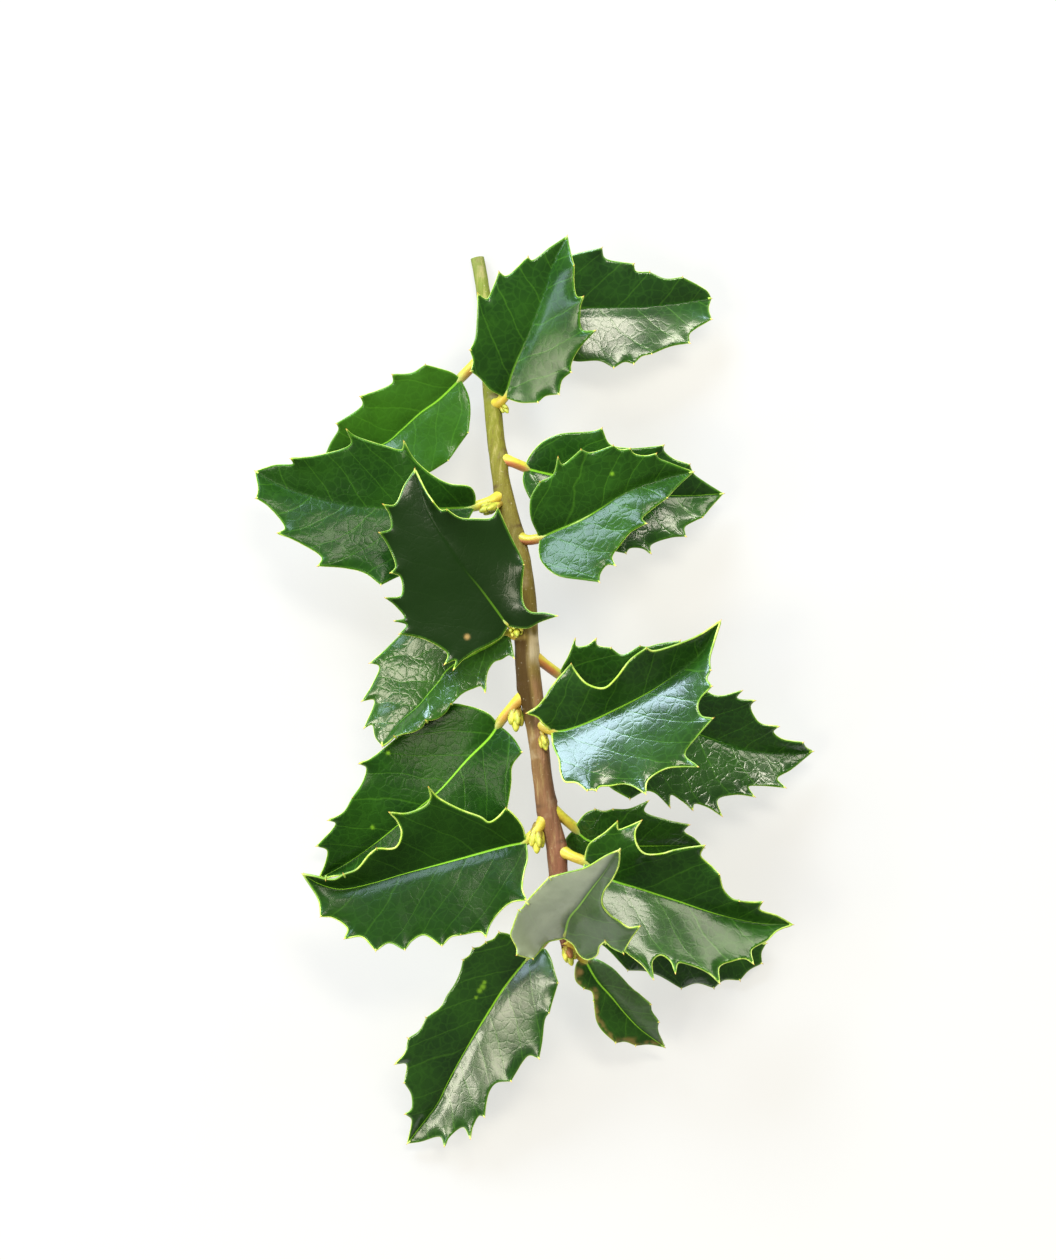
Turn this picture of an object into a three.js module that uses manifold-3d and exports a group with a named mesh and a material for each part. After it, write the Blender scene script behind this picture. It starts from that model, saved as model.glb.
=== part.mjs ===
// A cut sprig of common holly, lying on a flat surface at z = 0.
// Millimetres, +Z up. The cut end of the twig points along +Y and the growing tip along -Y.
// Each leaf is a thin solid between its midrib and its two spiny edges, grown together with its stalk.
import * as THREE from 'three';
import Module from 'manifold-3d';

const wasm = await Module();
wasm.setup();

// Driving dimensions.
const BLADE_THICKNESS = 0.7;      // of a leaf's blade, square to it
const STEEPEST_OFFSET = 2.1;      // a steep blade's underside is at most this many thicknesses below
const KEEL_DEPTH = 0.8;           // how far the midrib stands out below, at the leaf's base
const STALK_RADIUS = 1.15;        // of a leaf stalk where it meets the twig
const STALK_TIP_RADIUS = 0.55;    // of the stalk's end, inside the midrib
const STALK_SIDES = 8;
const STALK_STEPS = 5;
const STALK_REACH = 0.1;          // the share of the midrib that the stalk runs into
const STALK_SINK = 0.6;           // how far below the midrib's upper side the stalk ends
const SEAT_GAP = 0.3;             // the clearance between touching pieces
const RIB_STEPS = 12;
const MIDDLE_STEPS = 14;          // of the row of points between midrib and edge
const EDGE_STEP = 3.5;            // the longest straight piece of a leaf's edge
const SCALLOP_DEPTH = 0.13;       // a plain scallop's depth, as a share of its width
const VEIN_LEAN = 0.12;           // how far the side veins lean towards the leaf's tip
const LEAST_AREA = 0.02;          // twice the smallest plan area of a triangle of the blade
const FOLD_COST = 1000;           // weighs a folded triangle above any length of cross lines
const MIDDLE_SHARE = 0.45;        // how far from the midrib to the edge the middle row lies
const SMOOTHING = 0.05;           // the share of the edge over which the middle row evens out the teeth
const EVEN_SHIFTS = [-1, -0.5, 0, 0.5, 1];
const TWIG_SIDES = 12;
const TWIG_STEPS = 44;
const BUD_SIDES = 6;
const BUD_RINGS = 4;
const BUD_LENGTH = 1.35;          // of a bud, in its widths
const FIRST_BUD = 0.3;            // how far off the axis the first bud of a cluster leans, in bud steps
const BUD_SPREAD = 1.1;           // how much of the ball round the core the buds cover, in half balls
const GOLDEN_ANGLE = Math.PI * (3 - Math.sqrt(5));
const FAR = 400;                  // longer than the sprig
const MERGE_DIGITS = 5;           // two points alike to this many decimals are one

// The lowest face of the sprig's box is centred on the origin; the tables below count from this point.
const TABLE_ORIGIN = new THREE.Vector3(1.6, -15.5, 0);

// The twig's centre line: x, y, z and radius.
const TWIG = [
  [-12.75, 93.5, 1.3, 1.65],
  [-11.25, 85, 3.2, 1.7],
  [-10, 72.5, 6.8, 1.9],
  [-9, 57.5, 12, 2.15],
  [-7, 39.25, 17.5, 2.15],
  [-5.75, 33, 19, 2.3],
  [-3.75, 25, 21, 2.35],
  [-2.5, 21.25, 21.8, 2.3],
  [-0.75, 10, 23.8, 2.55],
  [-0.25, -1.5, 25, 2.8],
  [-0.25, -7.25, 25.3, 2.9],
  [0.5, -13.75, 25.4, 3],
  [2.5, -27.25, 25.2, 2.5],
  [3.5, -36, 25, 2.4],
  [4.75, -44.75, 24.6, 2.45],
  [7, -53.75, 24, 2.55],
  [7.5, -59.5, 23.5, 2.4],
  [8.25, -68.75, 22.5, 2],
  [9.25, -76.25, 21.5, 1.7],
  [9.75, -78.75, 21.2, 1.5],
];

// The leaves. stalk: from inside the twig to the blade. rib: the midrib, from the blade's base to its tip.
// left and right: the edge's stretches on each side, seen from above and looking towards the tip.
// Each stretch ends at a spine, and the last one at the tip; a stretch that holds its spine alone is a
// plain scallop. cup: how each side's section curves: under 1 it is steep at the midrib, over 1 at the edge.
const LEAVES = {
  leaf_01: {
    stalk: [[-8.9, 56.6, 12.3], [-6.9, 57.3, 15.2]],
    rib: [[-5.75, 58.25, 16.5], [-3.75, 65, 18.5], [0.5, 75, 21], [4.25, 85, 22.5], [6.25, 91.25, 22.5],
      [9.75, 98.5, 21.5]],
    left: [
      [[-9.5, 60.25, 19], [-12, 63, 20.5], [-14.25, 64.75, 22]],
      [[-14.5, 70, 24]],
      [[-13.25, 72.5, 24], [-12.7, 78, 25], [-12.5, 84, 26]],
      [[-10.25, 82.75, 24.5], [-8.75, 85.5, 24.5], [-7.25, 89.5, 25.5]],
      [[-5.5, 88.5, 24.5], [0, 93.25, 25]],
      [[0.9, 92.4, 24.5], [5.25, 95.5, 23.5], [9.75, 98.5, 21.5]],
    ],
    right: [
      [[-2, 57, 18.5], [2.5, 57, 20.5]],
      [[4.25, 58.5, 20.5], [7.75, 59, 22.5]],
      [[8.5, 62.5, 22.5], [10.75, 64.5, 24]],
      [[10.75, 66.25, 24], [12.5, 70, 25.5], [16.75, 74.75, 28.5]],
      [[13.5, 75, 26.5], [13, 80, 27], [13.75, 83.25, 28]],
      [[12.25, 83.25, 26.5], [11.5, 86.25, 26], [11.5, 91, 26.5]],
      [[10.5, 95, 24], [9.75, 98.5, 21.5]],
    ],
    cup: [0.9, 0.8],
  },
  leaf_02: {
    stalk: [[-10.2, 73.75, 6.4], [-6, 76, 8]],
    rib: [[-2, 78, 9], [13.75, 80.75, 10], [28, 81, 9.5], [38, 82, 8], [46, 83.25, 6.5]],
    left: [
      [[0.5, 85, 12], [5.5, 91.25, 13], [10.5, 93.75, 13.5], [18.5, 95.75, 14]],
      [[19.25, 93.25, 12.5], [26.5, 91.75, 13]],
      [[27, 90, 12], [30.5, 89.75, 12]],
      [[38.75, 88.5, 11]],
      [[45, 85, 7.5], [46, 83.25, 6.5]],
    ],
    right: [
      [[1.75, 73.75, 10.5], [6.75, 69.5, 11.5], [11.75, 67.5, 12.5], [18, 67.5, 13], [21.5, 65.75, 14]],
      [[24.25, 67.25, 13], [26.5, 66.75, 13.5]],
      [[31, 69.25, 13]],
      [[36, 71.25, 11.5], [40.5, 72, 11.5]],
      [[40.5, 74.25, 10.5], [46, 78, 10]],
      [[46, 83.25, 6.5]],
    ],
    cup: [1, 1],
  },
  leaf_03: {
    stalk: [[-9.9, 71.25, 7.2], [-13.25, 67, 9]],
    rib: [[-17, 63, 9.5], [-19.5, 60.5, 9.5], [-22.75, 57.5, 9.5], [-27, 54.5, 9], [-32, 50, 8],
      [-35.75, 47, 7.5], [-51.5, 42.5, 4.5]],
    left: [
      [[-15, 58.75, 10.5], [-14.5, 55, 11.5], [-15, 49.5, 13]],
      [[-16.5, 47.5, 12], [-20, 42.5, 13]],
      [[-22, 41.25, 12], [-24, 40, 12], [-29.5, 37, 12]],
      [[-37, 35, 11]],
      [[-44.5, 37, 8.5]],
      [[-51.5, 42.5, 4.5]],
    ],
    right: [
      [[-19, 64.5, 10.5], [-22, 65.5, 11.5], [-25.75, 66.5, 13]],
      [[-29, 64.5, 12], [-34, 64, 13]],
      [[-34, 62, 11.5], [-42, 58.5, 12]],
      [[-41.5, 56.5, 10.5], [-48, 51.75, 10]],
      [[-47.5, 50.5, 9], [-49.5, 47, 7], [-51.5, 42.5, 4.5]],
    ],
    cup: [1, 1],
  },
  leaf_04: {
    stalk: [[-6, 34, 18.8], [-9.5, 32.2, 21.2]],
    rib: [[-13.25, 30.75, 22], [-18.25, 30.5, 22.5], [-35.75, 30.5, 23], [-44.5, 31.25, 22.5],
      [-52, 32.75, 21.5], [-59.5, 35, 20], [-64.5, 37.25, 19], [-68.25, 39.75, 18]],
    left: [
      [[-15.5, 26.5, 23.5], [-17.5, 21, 24.5], [-24.5, 16.25, 25.5], [-32.75, 13.25, 26.5],
        [-36.75, 11.25, 28]],
      [[-40.75, 14.25, 26.5], [-45.75, 15.5, 26], [-52.5, 16, 28]],
      [[-51.5, 18, 26.5], [-57, 21.75, 25.5], [-62.5, 24.25, 26]],
      [[-60.75, 25.5, 24], [-65, 31, 22.5], [-68, 33, 22.5]],
      [[-67.5, 35, 21], [-68.25, 39.75, 18]],
    ],
    right: [
      [[-13.25, 33.75, 23.5], [-14.5, 35.75, 25], [-19.5, 36.5, 25.5], [-23.25, 38.25, 26],
        [-28.25, 42.5, 27],
        [-31, 47, 28.5]],
      [[-31.5, 45, 27], [-35.75, 46, 27.5], [-43.25, 48.5, 28], [-45.25, 50, 29]],
      [[-44.25, 46.5, 27], [-52, 43.75, 25.5], [-59.25, 42.75, 25.5]],
      [[-58.75, 41.5, 23.5], [-63.25, 41.25, 21], [-68.25, 39.75, 18]],
    ],
    cup: [0.9, 1.1],
  },
  leaf_05: {
    stalk: [[-0.4, 3.2, 24.7], [-2.8, 1.9, 27.6]],
    rib: [[-5, 1, 29], [-12, 10.5, 31], [-15.75, 15, 32], [-19.5, 20.5, 33], [-25, 30, 33.5],
      [-28.25, 40, 33]],
    left: [
      [[-6.75, -1.75, 29.5], [-9.5, -3.5, 30.5], [-13, -5.25, 31.5], [-16, -7.25, 32],
        [-18.5, -9.75, 33]],
      [[-18, -7.5, 32.5], [-20.75, -8.5, 33.5]],
      [[-20, -6, 32.5], [-25.25, -2.5, 33.5], [-28.75, -1.5, 34], [-32, -1, 35]],
      [[-30.25, 1.25, 34], [-33.25, 2.25, 35.5]],
      [[-30.75, 3, 34], [-33.25, 6.25, 34.5], [-35.5, 8, 36]],
      [[-31.75, 8.5, 34.5], [-31.25, 10.5, 34.5], [-32, 13.5, 35], [-34.25, 14.25, 36.5]],
      [[-33, 15.75, 35.5], [-35, 21.25, 35.5], [-37, 24.25, 37]],
      [[-34.25, 25.25, 35.5], [-34.5, 28.75, 35.5], [-36, 31.25, 36.5]],
      [[-33.25, 31.25, 35.5], [-30.75, 36.25, 34], [-28.25, 40, 33]],
    ],
    right: [
      [[-3, 0.6, 30], [0, 0.5, 31.5], [3, 2, 33.5], [7.25, 3.5, 36.5]],
      [[4.25, 4.25, 35], [0.5, 4.5, 34], [-1, 6.25, 33.5], [-1.5, 10, 33], [-1, 16.25, 34.5]],
      [[-1.9, 18.5, 33.5], [-4.5, 23.75, 34], [-7.5, 30.5, 36]],
      [[-9, 28, 35], [-13.25, 27.75, 35.5], [-17, 28, 36], [-20.25, 30, 37.5]],
      [[-21.75, 29.9, 36], [-23.75, 31.9, 37]],
      [[-25.75, 35, 35], [-28.25, 40, 33]],
    ],
    cup: [1, 1],
  },
  leaf_06: {
    stalk: [[-0.25, -2.4, 25.1], [-3, -1.4, 25.1]],
    rib: [[-5, -0.25, 25.3], [-8.25, -3, 24.8], [-20, -9.75, 23.5], [-22.25, -12.75, 23],
      [-25, -16, 22.3],
      [-27.5, -19, 21.8], [-32, -23, 20.5], [-36.5, -29, 18.5]],
    left: [
      [[-4.25, -3, 26], [-3.5, -7, 27.3]],
      [[-4.75, -6.25, 26.5], [-6.5, -7.25, 26], [-8.5, -8, 26], [-10, -10.25, 26], [-10.75, -15.5, 27]],
      [[-11.75, -14, 25.8], [-13.5, -14.5, 25.5], [-16.25, -15.75, 25.5], [-19.25, -18.5, 26]],
      [[-20.75, -20.75, 25], [-23, -22.25, 24.7], [-25.5, -22.6, 25.2]],
      [[-26.5, -24.25, 24.2], [-28.75, -25.5, 23.8], [-31.25, -26, 23.2], [-33.4, -26.6, 22.3]],
      [[-35.2, -28.2, 20.3], [-36.5, -29, 18.5]],
    ],
    right: [
      [[-14.5, 0.5, 25], [-24.5, 1.25, 23], [-30, 0.5, 22]],
      [[-33.25, -2.5, 20.5], [-35.75, -5, 20], [-39.5, -8.25, 19.5]],
      [[-37.25, -9, 19.5], [-39, -13.75, 18.5], [-41.5, -17.75, 18]],
      [[-38.5, -17.5, 18], [-41, -24.5, 16.5]],
      [[-39, -23.75, 17.5], [-38.25, -26.75, 17.5], [-36.5, -29, 18.5]],
    ],
    cup: [0.9, 1.2],
  },
  leaf_07: {
    stalk: [[-7.4, 43, 16.4], [-4.5, 42.25, 17.2]],
    rib: [[-0.75, 40.5, 16.5], [5.5, 39, 16], [15.5, 37, 14.5], [25.5, 35, 12.5], [36.25, 33.75, 10.5],
      [41.5, 33.75, 9], [49, 34.25, 7]],
    left: [
      [[0, 42.75, 17], [1.75, 45.25, 18], [4.25, 47.5, 18.5], [8, 49, 18.5], [16.25, 49.75, 17.5],
        [18.5, 50.5, 18]],
      [[20.5, 46.5, 16.5], [25.5, 45.5, 16], [30, 45.75, 15.5], [34, 46.25, 15.5]],
      [[34, 45, 14.5], [36.25, 43, 13.5], [40.5, 41.5, 13]],
      [[41.5, 39.25, 11.5], [44.5, 37, 9.5], [49, 34.25, 7]],
    ],
    right: [
      [[-1.25, 37.5, 16.5], [0.5, 33, 17], [4.25, 28.75, 17], [13, 23.75, 16.5], [19.25, 20.5, 16],
        [24.5, 19.25, 16]],
      [[25.5, 20.5, 15], [28.5, 20.5, 14.5], [30.75, 19.25, 15]],
      [[30.75, 21.25, 13.5], [36, 23.25, 13], [39.5, 23.5, 13]],
      [[39.25, 25.75, 12], [41.5, 27.25, 11.5], [43.75, 28.25, 11.5]],
      [[46.5, 31.5, 8.5], [49, 34.25, 7]],
    ],
    cup: [0.8, 1],
  },
  leaf_08: {
    stalk: [[-3.2, 23.6, 21.3], [0, 22.5, 23.6]],
    rib: [[3, 23, 25], [5.75, 24.25, 25.5], [13.25, 27.5, 26], [18, 30.25, 26.2], [22.5, 33.25, 26],
      [27, 35.5, 25.5],
      [31.5, 37, 25], [36.25, 38.5, 24.5], [41.25, 39.5, 24]],
    left: [
      [[2, 25, 26], [0.75, 28, 28], [0.5, 31.5, 29.5], [1, 33.75, 30.5], [3, 37, 31.5]],
      [[4.25, 37.5, 31], [6.25, 38.75, 31], [7.5, 43, 33]],
      [[8.5, 41.25, 31.5], [10.75, 42.75, 31.5], [13.25, 45, 32]],
      [[15.5, 44.25, 30.5], [21.25, 46, 31]],
      [[23, 45, 30], [25.5, 45.25, 30]],
      [[26.5, 44, 29], [29.25, 43.5, 28.5], [32, 44, 28.5]],
      [[32.5, 43, 27.5], [35.5, 41.75, 26.5], [41.25, 39.5, 24]],
    ],
    right: [
      [[2.75, 20, 26.5], [3.25, 17.5, 28], [5, 15.25, 29.5], [7.75, 13.5, 31], [14, 12.5, 32.5],
        [17.75, 12, 33.5]],
      [[18, 14, 32.5], [19.75, 16.25, 31.5], [21.75, 16.1, 32.5]],
      [[21, 18.25, 31], [23, 21.25, 30.5], [25.75, 24.5, 30], [29.5, 26.6, 30.5]],
      [[28.5, 27.75, 29.5], [30.75, 30, 28.5], [34.75, 33, 28]],
      [[36.75, 35.25, 26.5], [41.25, 39.5, 24]],
    ],
    cup: [0.9, 0.9],
  },
  leaf_09: {
    stalk: [[-0.2, -5.5, 25.2], [2.8, -7.5, 24.2]],
    rib: [[7.75, -11.25, 21], [15.5, -15, 19.5], [23.5, -18.75, 18], [33, -22.5, 16],
      [43.25, -26.25, 13.5],
      [53.5, -29.75, 11], [59.75, -30.75, 9.5], [66, -31, 8], [71.5, -30.5, 6.5]],
    left: [
      [[8.75, -9, 22.5], [10, -6.75, 24], [11.75, -2.25, 26.5]],
      [[12, -4, 25.5], [14.5, -4, 25.5], [17, -2.25, 26]],
      [[17.25, -3.75, 25], [20.75, -4.5, 25]],
      [[23.5, -6.25, 24], [28, -4, 25]],
      [[29.75, -4.25, 24], [32.75, -3.5, 23.5], [38, -2.75, 23.5]],
      [[40.5, -8.75, 21.5], [43, -13.75, 19.5], [47.25, -16.5, 18.5], [53.5, -15.25, 19]],
      [[52.25, -17, 18], [56.75, -17.75, 17.5]],
      [[55.75, -19, 16.5], [56.75, -21.75, 15.5], [58.5, -23.5, 14.5], [62.75, -24.25, 14.5]],
      [[61.5, -25.5, 13], [63.5, -27.25, 12], [69, -28.25, 10]],
      [[71.5, -30.5, 6.5]],
    ],
    right: [
      [[9.25, -16.25, 22], [11.75, -25, 22.5], [16.75, -35, 21.5], [20.5, -39.25, 21],
        [25.5, -42.25, 21]],
      [[29.5, -40.25, 19.5], [31.75, -40.75, 19], [35.5, -44.25, 19]],
      [[35.75, -41.25, 17.5], [38.5, -42.75, 17], [41.25, -45, 17.5]],
      [[41.75, -43.5, 16], [44.75, -44.25, 16], [48.5, -46.5, 16]],
      [[47.5, -42.5, 14.5], [52, -41.25, 13.5], [56.75, -41.75, 14]],
      [[55.25, -39.25, 12.5], [58, -39, 12], [64.5, -39.5, 12]],
      [[62.5, -37.25, 11], [66, -35, 9.5], [71.5, -30.5, 6.5]],
    ],
    cup: [1, 0.9],
  },
  leaf_10: {
    stalk: [[1.9, -22.6, 25.3], [4.4, -24.4, 27.9]],
    rib: [[6, -25.25, 29], [8.25, -25.25, 29.5], [12, -24.25, 30], [15.75, -22.75, 30.5],
      [20, -20.75, 31],
      [29.75, -15.75, 32], [37.25, -10.75, 32.5], [42.75, -6.25, 32.5], [48, 2.25, 33]],
    left: [
      [[5.25, -24.5, 30], [3.75, -23.25, 31.5], [2.5, -21.75, 32.5], [-0.25, -20.75, 34]],
      [[2.25, -19.25, 33.5], [4, -17.25, 34.5], [6.25, -13.75, 35.5], [9.25, -10.25, 36.5],
        [10.75, -8.5, 38]],
      [[11.75, -10.25, 37.5], [14.75, -13.5, 37], [19, -14.5, 37], [21.75, -12.25, 37.5],
        [25.5, -7.5, 38.5],
        [29.5, -4.5, 40.5]],
      [[31, -5.25, 39], [36.75, -3.75, 38], [42.75, -1.25, 36], [48, 2.25, 33]],
    ],
    right: [
      [[6.25, -28.5, 31.5], [7.75, -32.25, 34], [8.25, -35.75, 36], [9.25, -37.75, 37], [12, -38, 37.5],
        [14.75, -40, 39]],
      [[17, -40, 39]],
      [[17.75, -39, 38], [20.5, -38.75, 37.5], [23.5, -38.25, 37.5], [26, -38.75, 38.5],
        [29.25, -40.75, 40.5]],
      [[29.75, -37.5, 39], [34.25, -34.5, 38.5], [38, -34, 39], [42.25, -34, 41]],
      [[39, -31, 39], [42.25, -26.25, 39], [46, -22, 40]],
      [[43.25, -21.5, 38.5], [42.25, -19.5, 38], [42.75, -17.25, 37.5], [45.75, -14, 38]],
      [[44.5, -12.25, 37], [45.5, -10, 36.5]],
      [[45.25, -7.5, 35.5], [46.5, -2.5, 34.5], [48, 2.25, 33]],
    ],
    cup: [1.2, 0.9],
  },
  leaf_11: {
    stalk: [[0.6, -15, 25.4], [-3.2, -18.4, 24.8]],
    rib: [[-7.5, -23.75, 22], [-9.5, -26.75, 22], [-15, -32.25, 21], [-22.5, -40.5, 17.5],
      [-29.5, -46.25, 13],
      [-37, -52.5, 8], [-44.5, -58, 2.6], [-48.25, -60.25, 0.4], [-52.5, -62.5, 1.1]],
    left: [
      [[-5.5, -25.25, 22.5], [-3.5, -27.25, 23.5], [-1.5, -30.5, 25.5]],
      [[-4, -34, 24], [-4.25, -38.25, 23.5], [-5.25, -44.75, 23]],
      [[-10.75, -50, 19.5], [-18.25, -53.75, 17]],
      [[-29.5, -58.75, 11]],
      [[-40.75, -63.75, 5.5]],
      [[-52.5, -62.5, 1.1]],
    ],
    right: [
      [[-9.5, -21.25, 23.5], [-12.5, -19.75, 23.5], [-15.25, -19, 22.8], [-19.25, -18.5, 21.5],
        [-25.75, -21.25, 19.5],
        [-32.75, -27, 16.5], [-39.5, -32.25, 16], [-42.25, -33.5, 16.5]],
      [[-40.5, -34.5, 14.5], [-41.5, -38.25, 13.5], [-44, -42, 13]],
      [[-50, -47.75, 10]],
      [[-48.25, -48.5, 9], [-53, -54.25, 7]],
      [[-50.5, -55.25, 5.5], [-50.75, -58, 4], [-52.5, -62.5, 1.1]],
    ],
    cup: [1, 0.7],
  },
  leaf_12: {
    stalk: [[4.9, -45.5, 24.6], [2, -50.3, 26]],
    rib: [[-0.5, -53, 27], [-6.25, -54.25, 27.5], [-18.25, -57.5, 28], [-31.25, -61, 27.5],
      [-39.75, -63.5, 27],
      [-47, -64.75, 26.8], [-52, -63.5, 27.2], [-56.25, -61, 28]],
    left: [
      [[-0.25, -57.25, 28.5], [-1, -60.25, 30], [-1.5, -64.5, 32], [-0.5, -67.25, 33.5]],
      [[-4.5, -68, 32], [-8.25, -71.5, 32], [-9.75, -74, 32.5], [-10.5, -76.5, 33.5]],
      [[-11.75, -75.25, 32.5], [-16.75, -76, 33]],
      [[-19.25, -76.5, 32], [-21.5, -78.75, 33]],
      [[-26, -76, 31.5], [-29, -77.5, 31.5], [-30.75, -79.75, 32.5]],
      [[-34.75, -78, 31], [-38, -80, 31.5]],
      [[-41.5, -76.5, 30], [-45.75, -77, 30.5]],
      [[-45, -74.5, 29], [-48.75, -71.75, 28.5], [-51.75, -71.5, 29]],
      [[-52.25, -67.5, 27.5], [-56.25, -61, 28]],
    ],
    right: [
      [[-1.5, -49, 29], [-4, -45.75, 31], [-5.5, -44.5, 32]],
      [[-7.5, -46.75, 31.5], [-9.75, -48, 31.5], [-11.75, -46.75, 32], [-17, -44.75, 33],
        [-22.5, -41.75, 34.5],
        [-24.75, -39.25, 36.5]],
      [[-24.25, -41.75, 35], [-25.5, -43.75, 34], [-30.25, -45.75, 33.5], [-34.5, -45.5, 35]],
      [[-32.5, -47.75, 33.5], [-31.5, -50.75, 33], [-33, -54.25, 32.5], [-37.75, -54.5, 33]],
      [[-39.75, -56.25, 32], [-42.75, -59.75, 31], [-46, -61, 30.5]],
      [[-50.5, -62.25, 29.5]],
      [[-53.2, -61.5, 29.2], [-56.25, -61, 28]],
    ],
    cup: [0.7, 1.2],
  },
  leaf_13: {
    stalk: [[8.4, -72, 22.2], [4.2, -77.5, 21]],
    rib: [[0, -82, 20], [-5.75, -89.25, 18], [-10.25, -96.25, 16], [-15.5, -105, 12.5],
      [-20.25, -113.75, 9],
      [-22.5, -118.5, 7], [-30.25, -129, 3.2]],
    left: [
      [[4, -79.75, 21.8], [5.5, -81.75, 22.8], [6.5, -85, 23.5], [7.5, -88.25, 24]],
      [[6.5, -91.5, 22.5], [5.25, -95.75, 22]],
      [[4.25, -97.25, 20.5], [3.5, -103, 19], [2.75, -107.25, 18.5]],
      [[0.25, -106.5, 17.5], [-3.25, -111.25, 15.5], [-4.25, -113, 16]],
      [[-8, -113.5, 14.5], [-9.75, -115.75, 13.5], [-11, -122, 12]],
      [[-12.25, -121.75, 11], [-14, -125, 10], [-14.5, -127.5, 10]],
      [[-16.25, -124.75, 8.5], [-19.75, -127.25, 7.5], [-21, -129.5, 7.5]],
      [[-22, -127.25, 6], [-27, -128.5, 4.2], [-30.25, -129, 3.2]],
    ],
    right: [
      [[-2, -79, 22], [-4.5, -76.25, 23.5], [-7.25, -75.5, 24.5]],
      [[-10.5, -78, 24.5]],
      [[-13.75, -79.5, 24]],
      [[-16.25, -82.5, 23.5]],
      [[-16.75, -85, 22], [-18.25, -88.5, 21], [-20.25, -91.5, 20], [-21.75, -94.25, 19.5],
        [-25.5, -97, 19.5]],
      [[-30, -102.25, 17.5]],
      [[-33.25, -108.75, 15.5]],
      [[-30.5, -108.75, 14], [-31, -113.5, 12.5]],
      [[-29.25, -116.5, 10.5], [-29.25, -120.25, 9], [-30.75, -121.5, 9]],
      [[-29.25, -122.75, 7.5], [-29.6, -126, 5.2], [-30.25, -129, 3.2]],
    ],
    cup: [0.9, 0.9],
  },
  leaf_14: {
    stalk: [[9, -73.5, 21.9], [9, -75.8, 24.5]],
    rib: [[9, -77, 27], [10.25, -72, 33], [12.75, -68.75, 38], [15.75, -64.5, 45], [18.75, -60.5, 51.5],
      [21, -57, 57], [22.75, -54.5, 60]],
    left: [
      [[4.75, -78, 28], [3, -80, 30], [1.25, -82, 32]],
      [[-0.5, -81.6, 32], [-2.75, -81, 34]],
      [[-2.75, -79.5, 34], [-4.25, -76, 36.5], [-3.75, -74, 38], [-2.25, -69.75, 41.5]],
      [[-0.5, -67.75, 43]],
      [[2.25, -64.75, 45.5], [5.25, -61.5, 48.5]],
      [[9.75, -60.25, 50.5], [14.25, -59, 53], [19.75, -55.75, 58], [22.75, -54.5, 60]],
    ],
    right: [
      [[11.25, -78.5, 27.5], [12.75, -81, 28], [14.75, -82.25, 29], [17.25, -81, 31], [17.75, -79, 33],
        [19.25, -77.5, 36]],
      [[20.75, -79, 37], [23.75, -80.5, 39]],
      [[25.5, -77, 41], [27.75, -73.75, 44]],
      [[25, -74, 43.5], [22.75, -72.5, 44], [20.25, -70.75, 45], [18.5, -68.25, 46.5],
        [18.75, -65.25, 49],
        [21, -61.75, 52.5], [22.5, -58.25, 56.5], [22.75, -54.5, 60]],
    ],
    cup: [1, 1],
  },
  leaf_15: {
    stalk: [[7.2, -54.5, 23.9], [11, -56.5, 26.5]],
    rib: [[14.25, -58, 28], [20.5, -62.25, 29], [27.5, -64.5, 29], [37.5, -67.75, 27.5],
      [47.25, -71, 25.5],
      [57.25, -73.25, 22.5], [66.25, -73.75, 19]],
    left: [
      [[14.5, -55.5, 30], [15.5, -53.25, 32], [19.25, -50.5, 34.5], [22.25, -47.75, 37.5]],
      [[22.5, -49.75, 36], [25, -49, 36.5], [28.25, -47.5, 39]],
      [[26.75, -50, 37.5], [27, -53.25, 37], [29, -55.75, 36.5], [33.5, -55.75, 36], [36, -55, 35.5],
        [40, -54.25, 35.5], [44, -53.75, 36]],
      [[43, -56.25, 33.5], [45.5, -58.75, 32], [47.75, -61, 32]],
      [[48.75, -64.75, 29.5], [50.75, -67, 28.5], [52.75, -67.75, 28.5]],
      [[55.25, -68, 27], [58.5, -68, 26.5]],
      [[57.75, -69.75, 25], [62.25, -71.5, 22], [66.25, -73.75, 19]],
    ],
    right: [
      [[13.75, -61.25, 29], [15.5, -67.5, 31], [19.25, -75, 32], [24.75, -80.5, 33.5], [28.5, -83.5, 34],
        [31.25, -87, 35.5]],
      [[31, -82.5, 34], [33, -81, 33.5], [35.5, -82.5, 33.5], [36.75, -85.5, 35]],
      [[37.5, -83, 33.5], [40.5, -83.5, 33], [45, -85.5, 33], [47.75, -88, 33]],
      [[47.75, -84, 31], [51.25, -82.5, 30], [54.25, -82, 29], [56.25, -83.25, 29]],
      [[55.75, -80, 27.5], [59.75, -77.5, 25], [62.25, -75.25, 22.5], [66.25, -73.75, 19]],
    ],
    cup: [1.1, 0.9],
  },
  leaf_16: {
    stalk: [[8.1, -65.75, 22.8], [11.5, -70.5, 20.6]],
    rib: [[13.5, -73.75, 19.5], [23, -74, 16.5], [33, -74, 12.5], [43, -74.5, 9], [51.75, -76.25, 6],
      [59.75, -78.75, 4.5]],
    left: [
      [[18, -68.75, 18.5], [23, -66.25, 17], [30.5, -64.5, 15.5]],
      [[40.5, -64.5, 12.5]],
      [[49.25, -67.5, 9.5]],
      [[55.5, -72.5, 7.5]],
      [[59.75, -78.75, 4.5]],
    ],
    right: [
      [[15, -76.5, 19.5], [19.25, -79.25, 18], [25, -85.25, 15]],
      [[29.25, -85.5, 11], [32.5, -86.5, 8.5], [38.5, -90, 4.5]],
      [[42.5, -88.75, 1.6], [46.75, -90, 0.4]],
      [[49.25, -88, 1.6], [53.25, -88, 2.5]],
      [[55.5, -85.5, 3], [58.75, -83.75, 3.5]],
      [[59.75, -78.75, 4.5]],
    ],
    cup: [1, 1],
  },
  leaf_17: {
    stalk: [[4.7, -43.8, 24.6], [8.1, -46.4, 23.9]],
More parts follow.
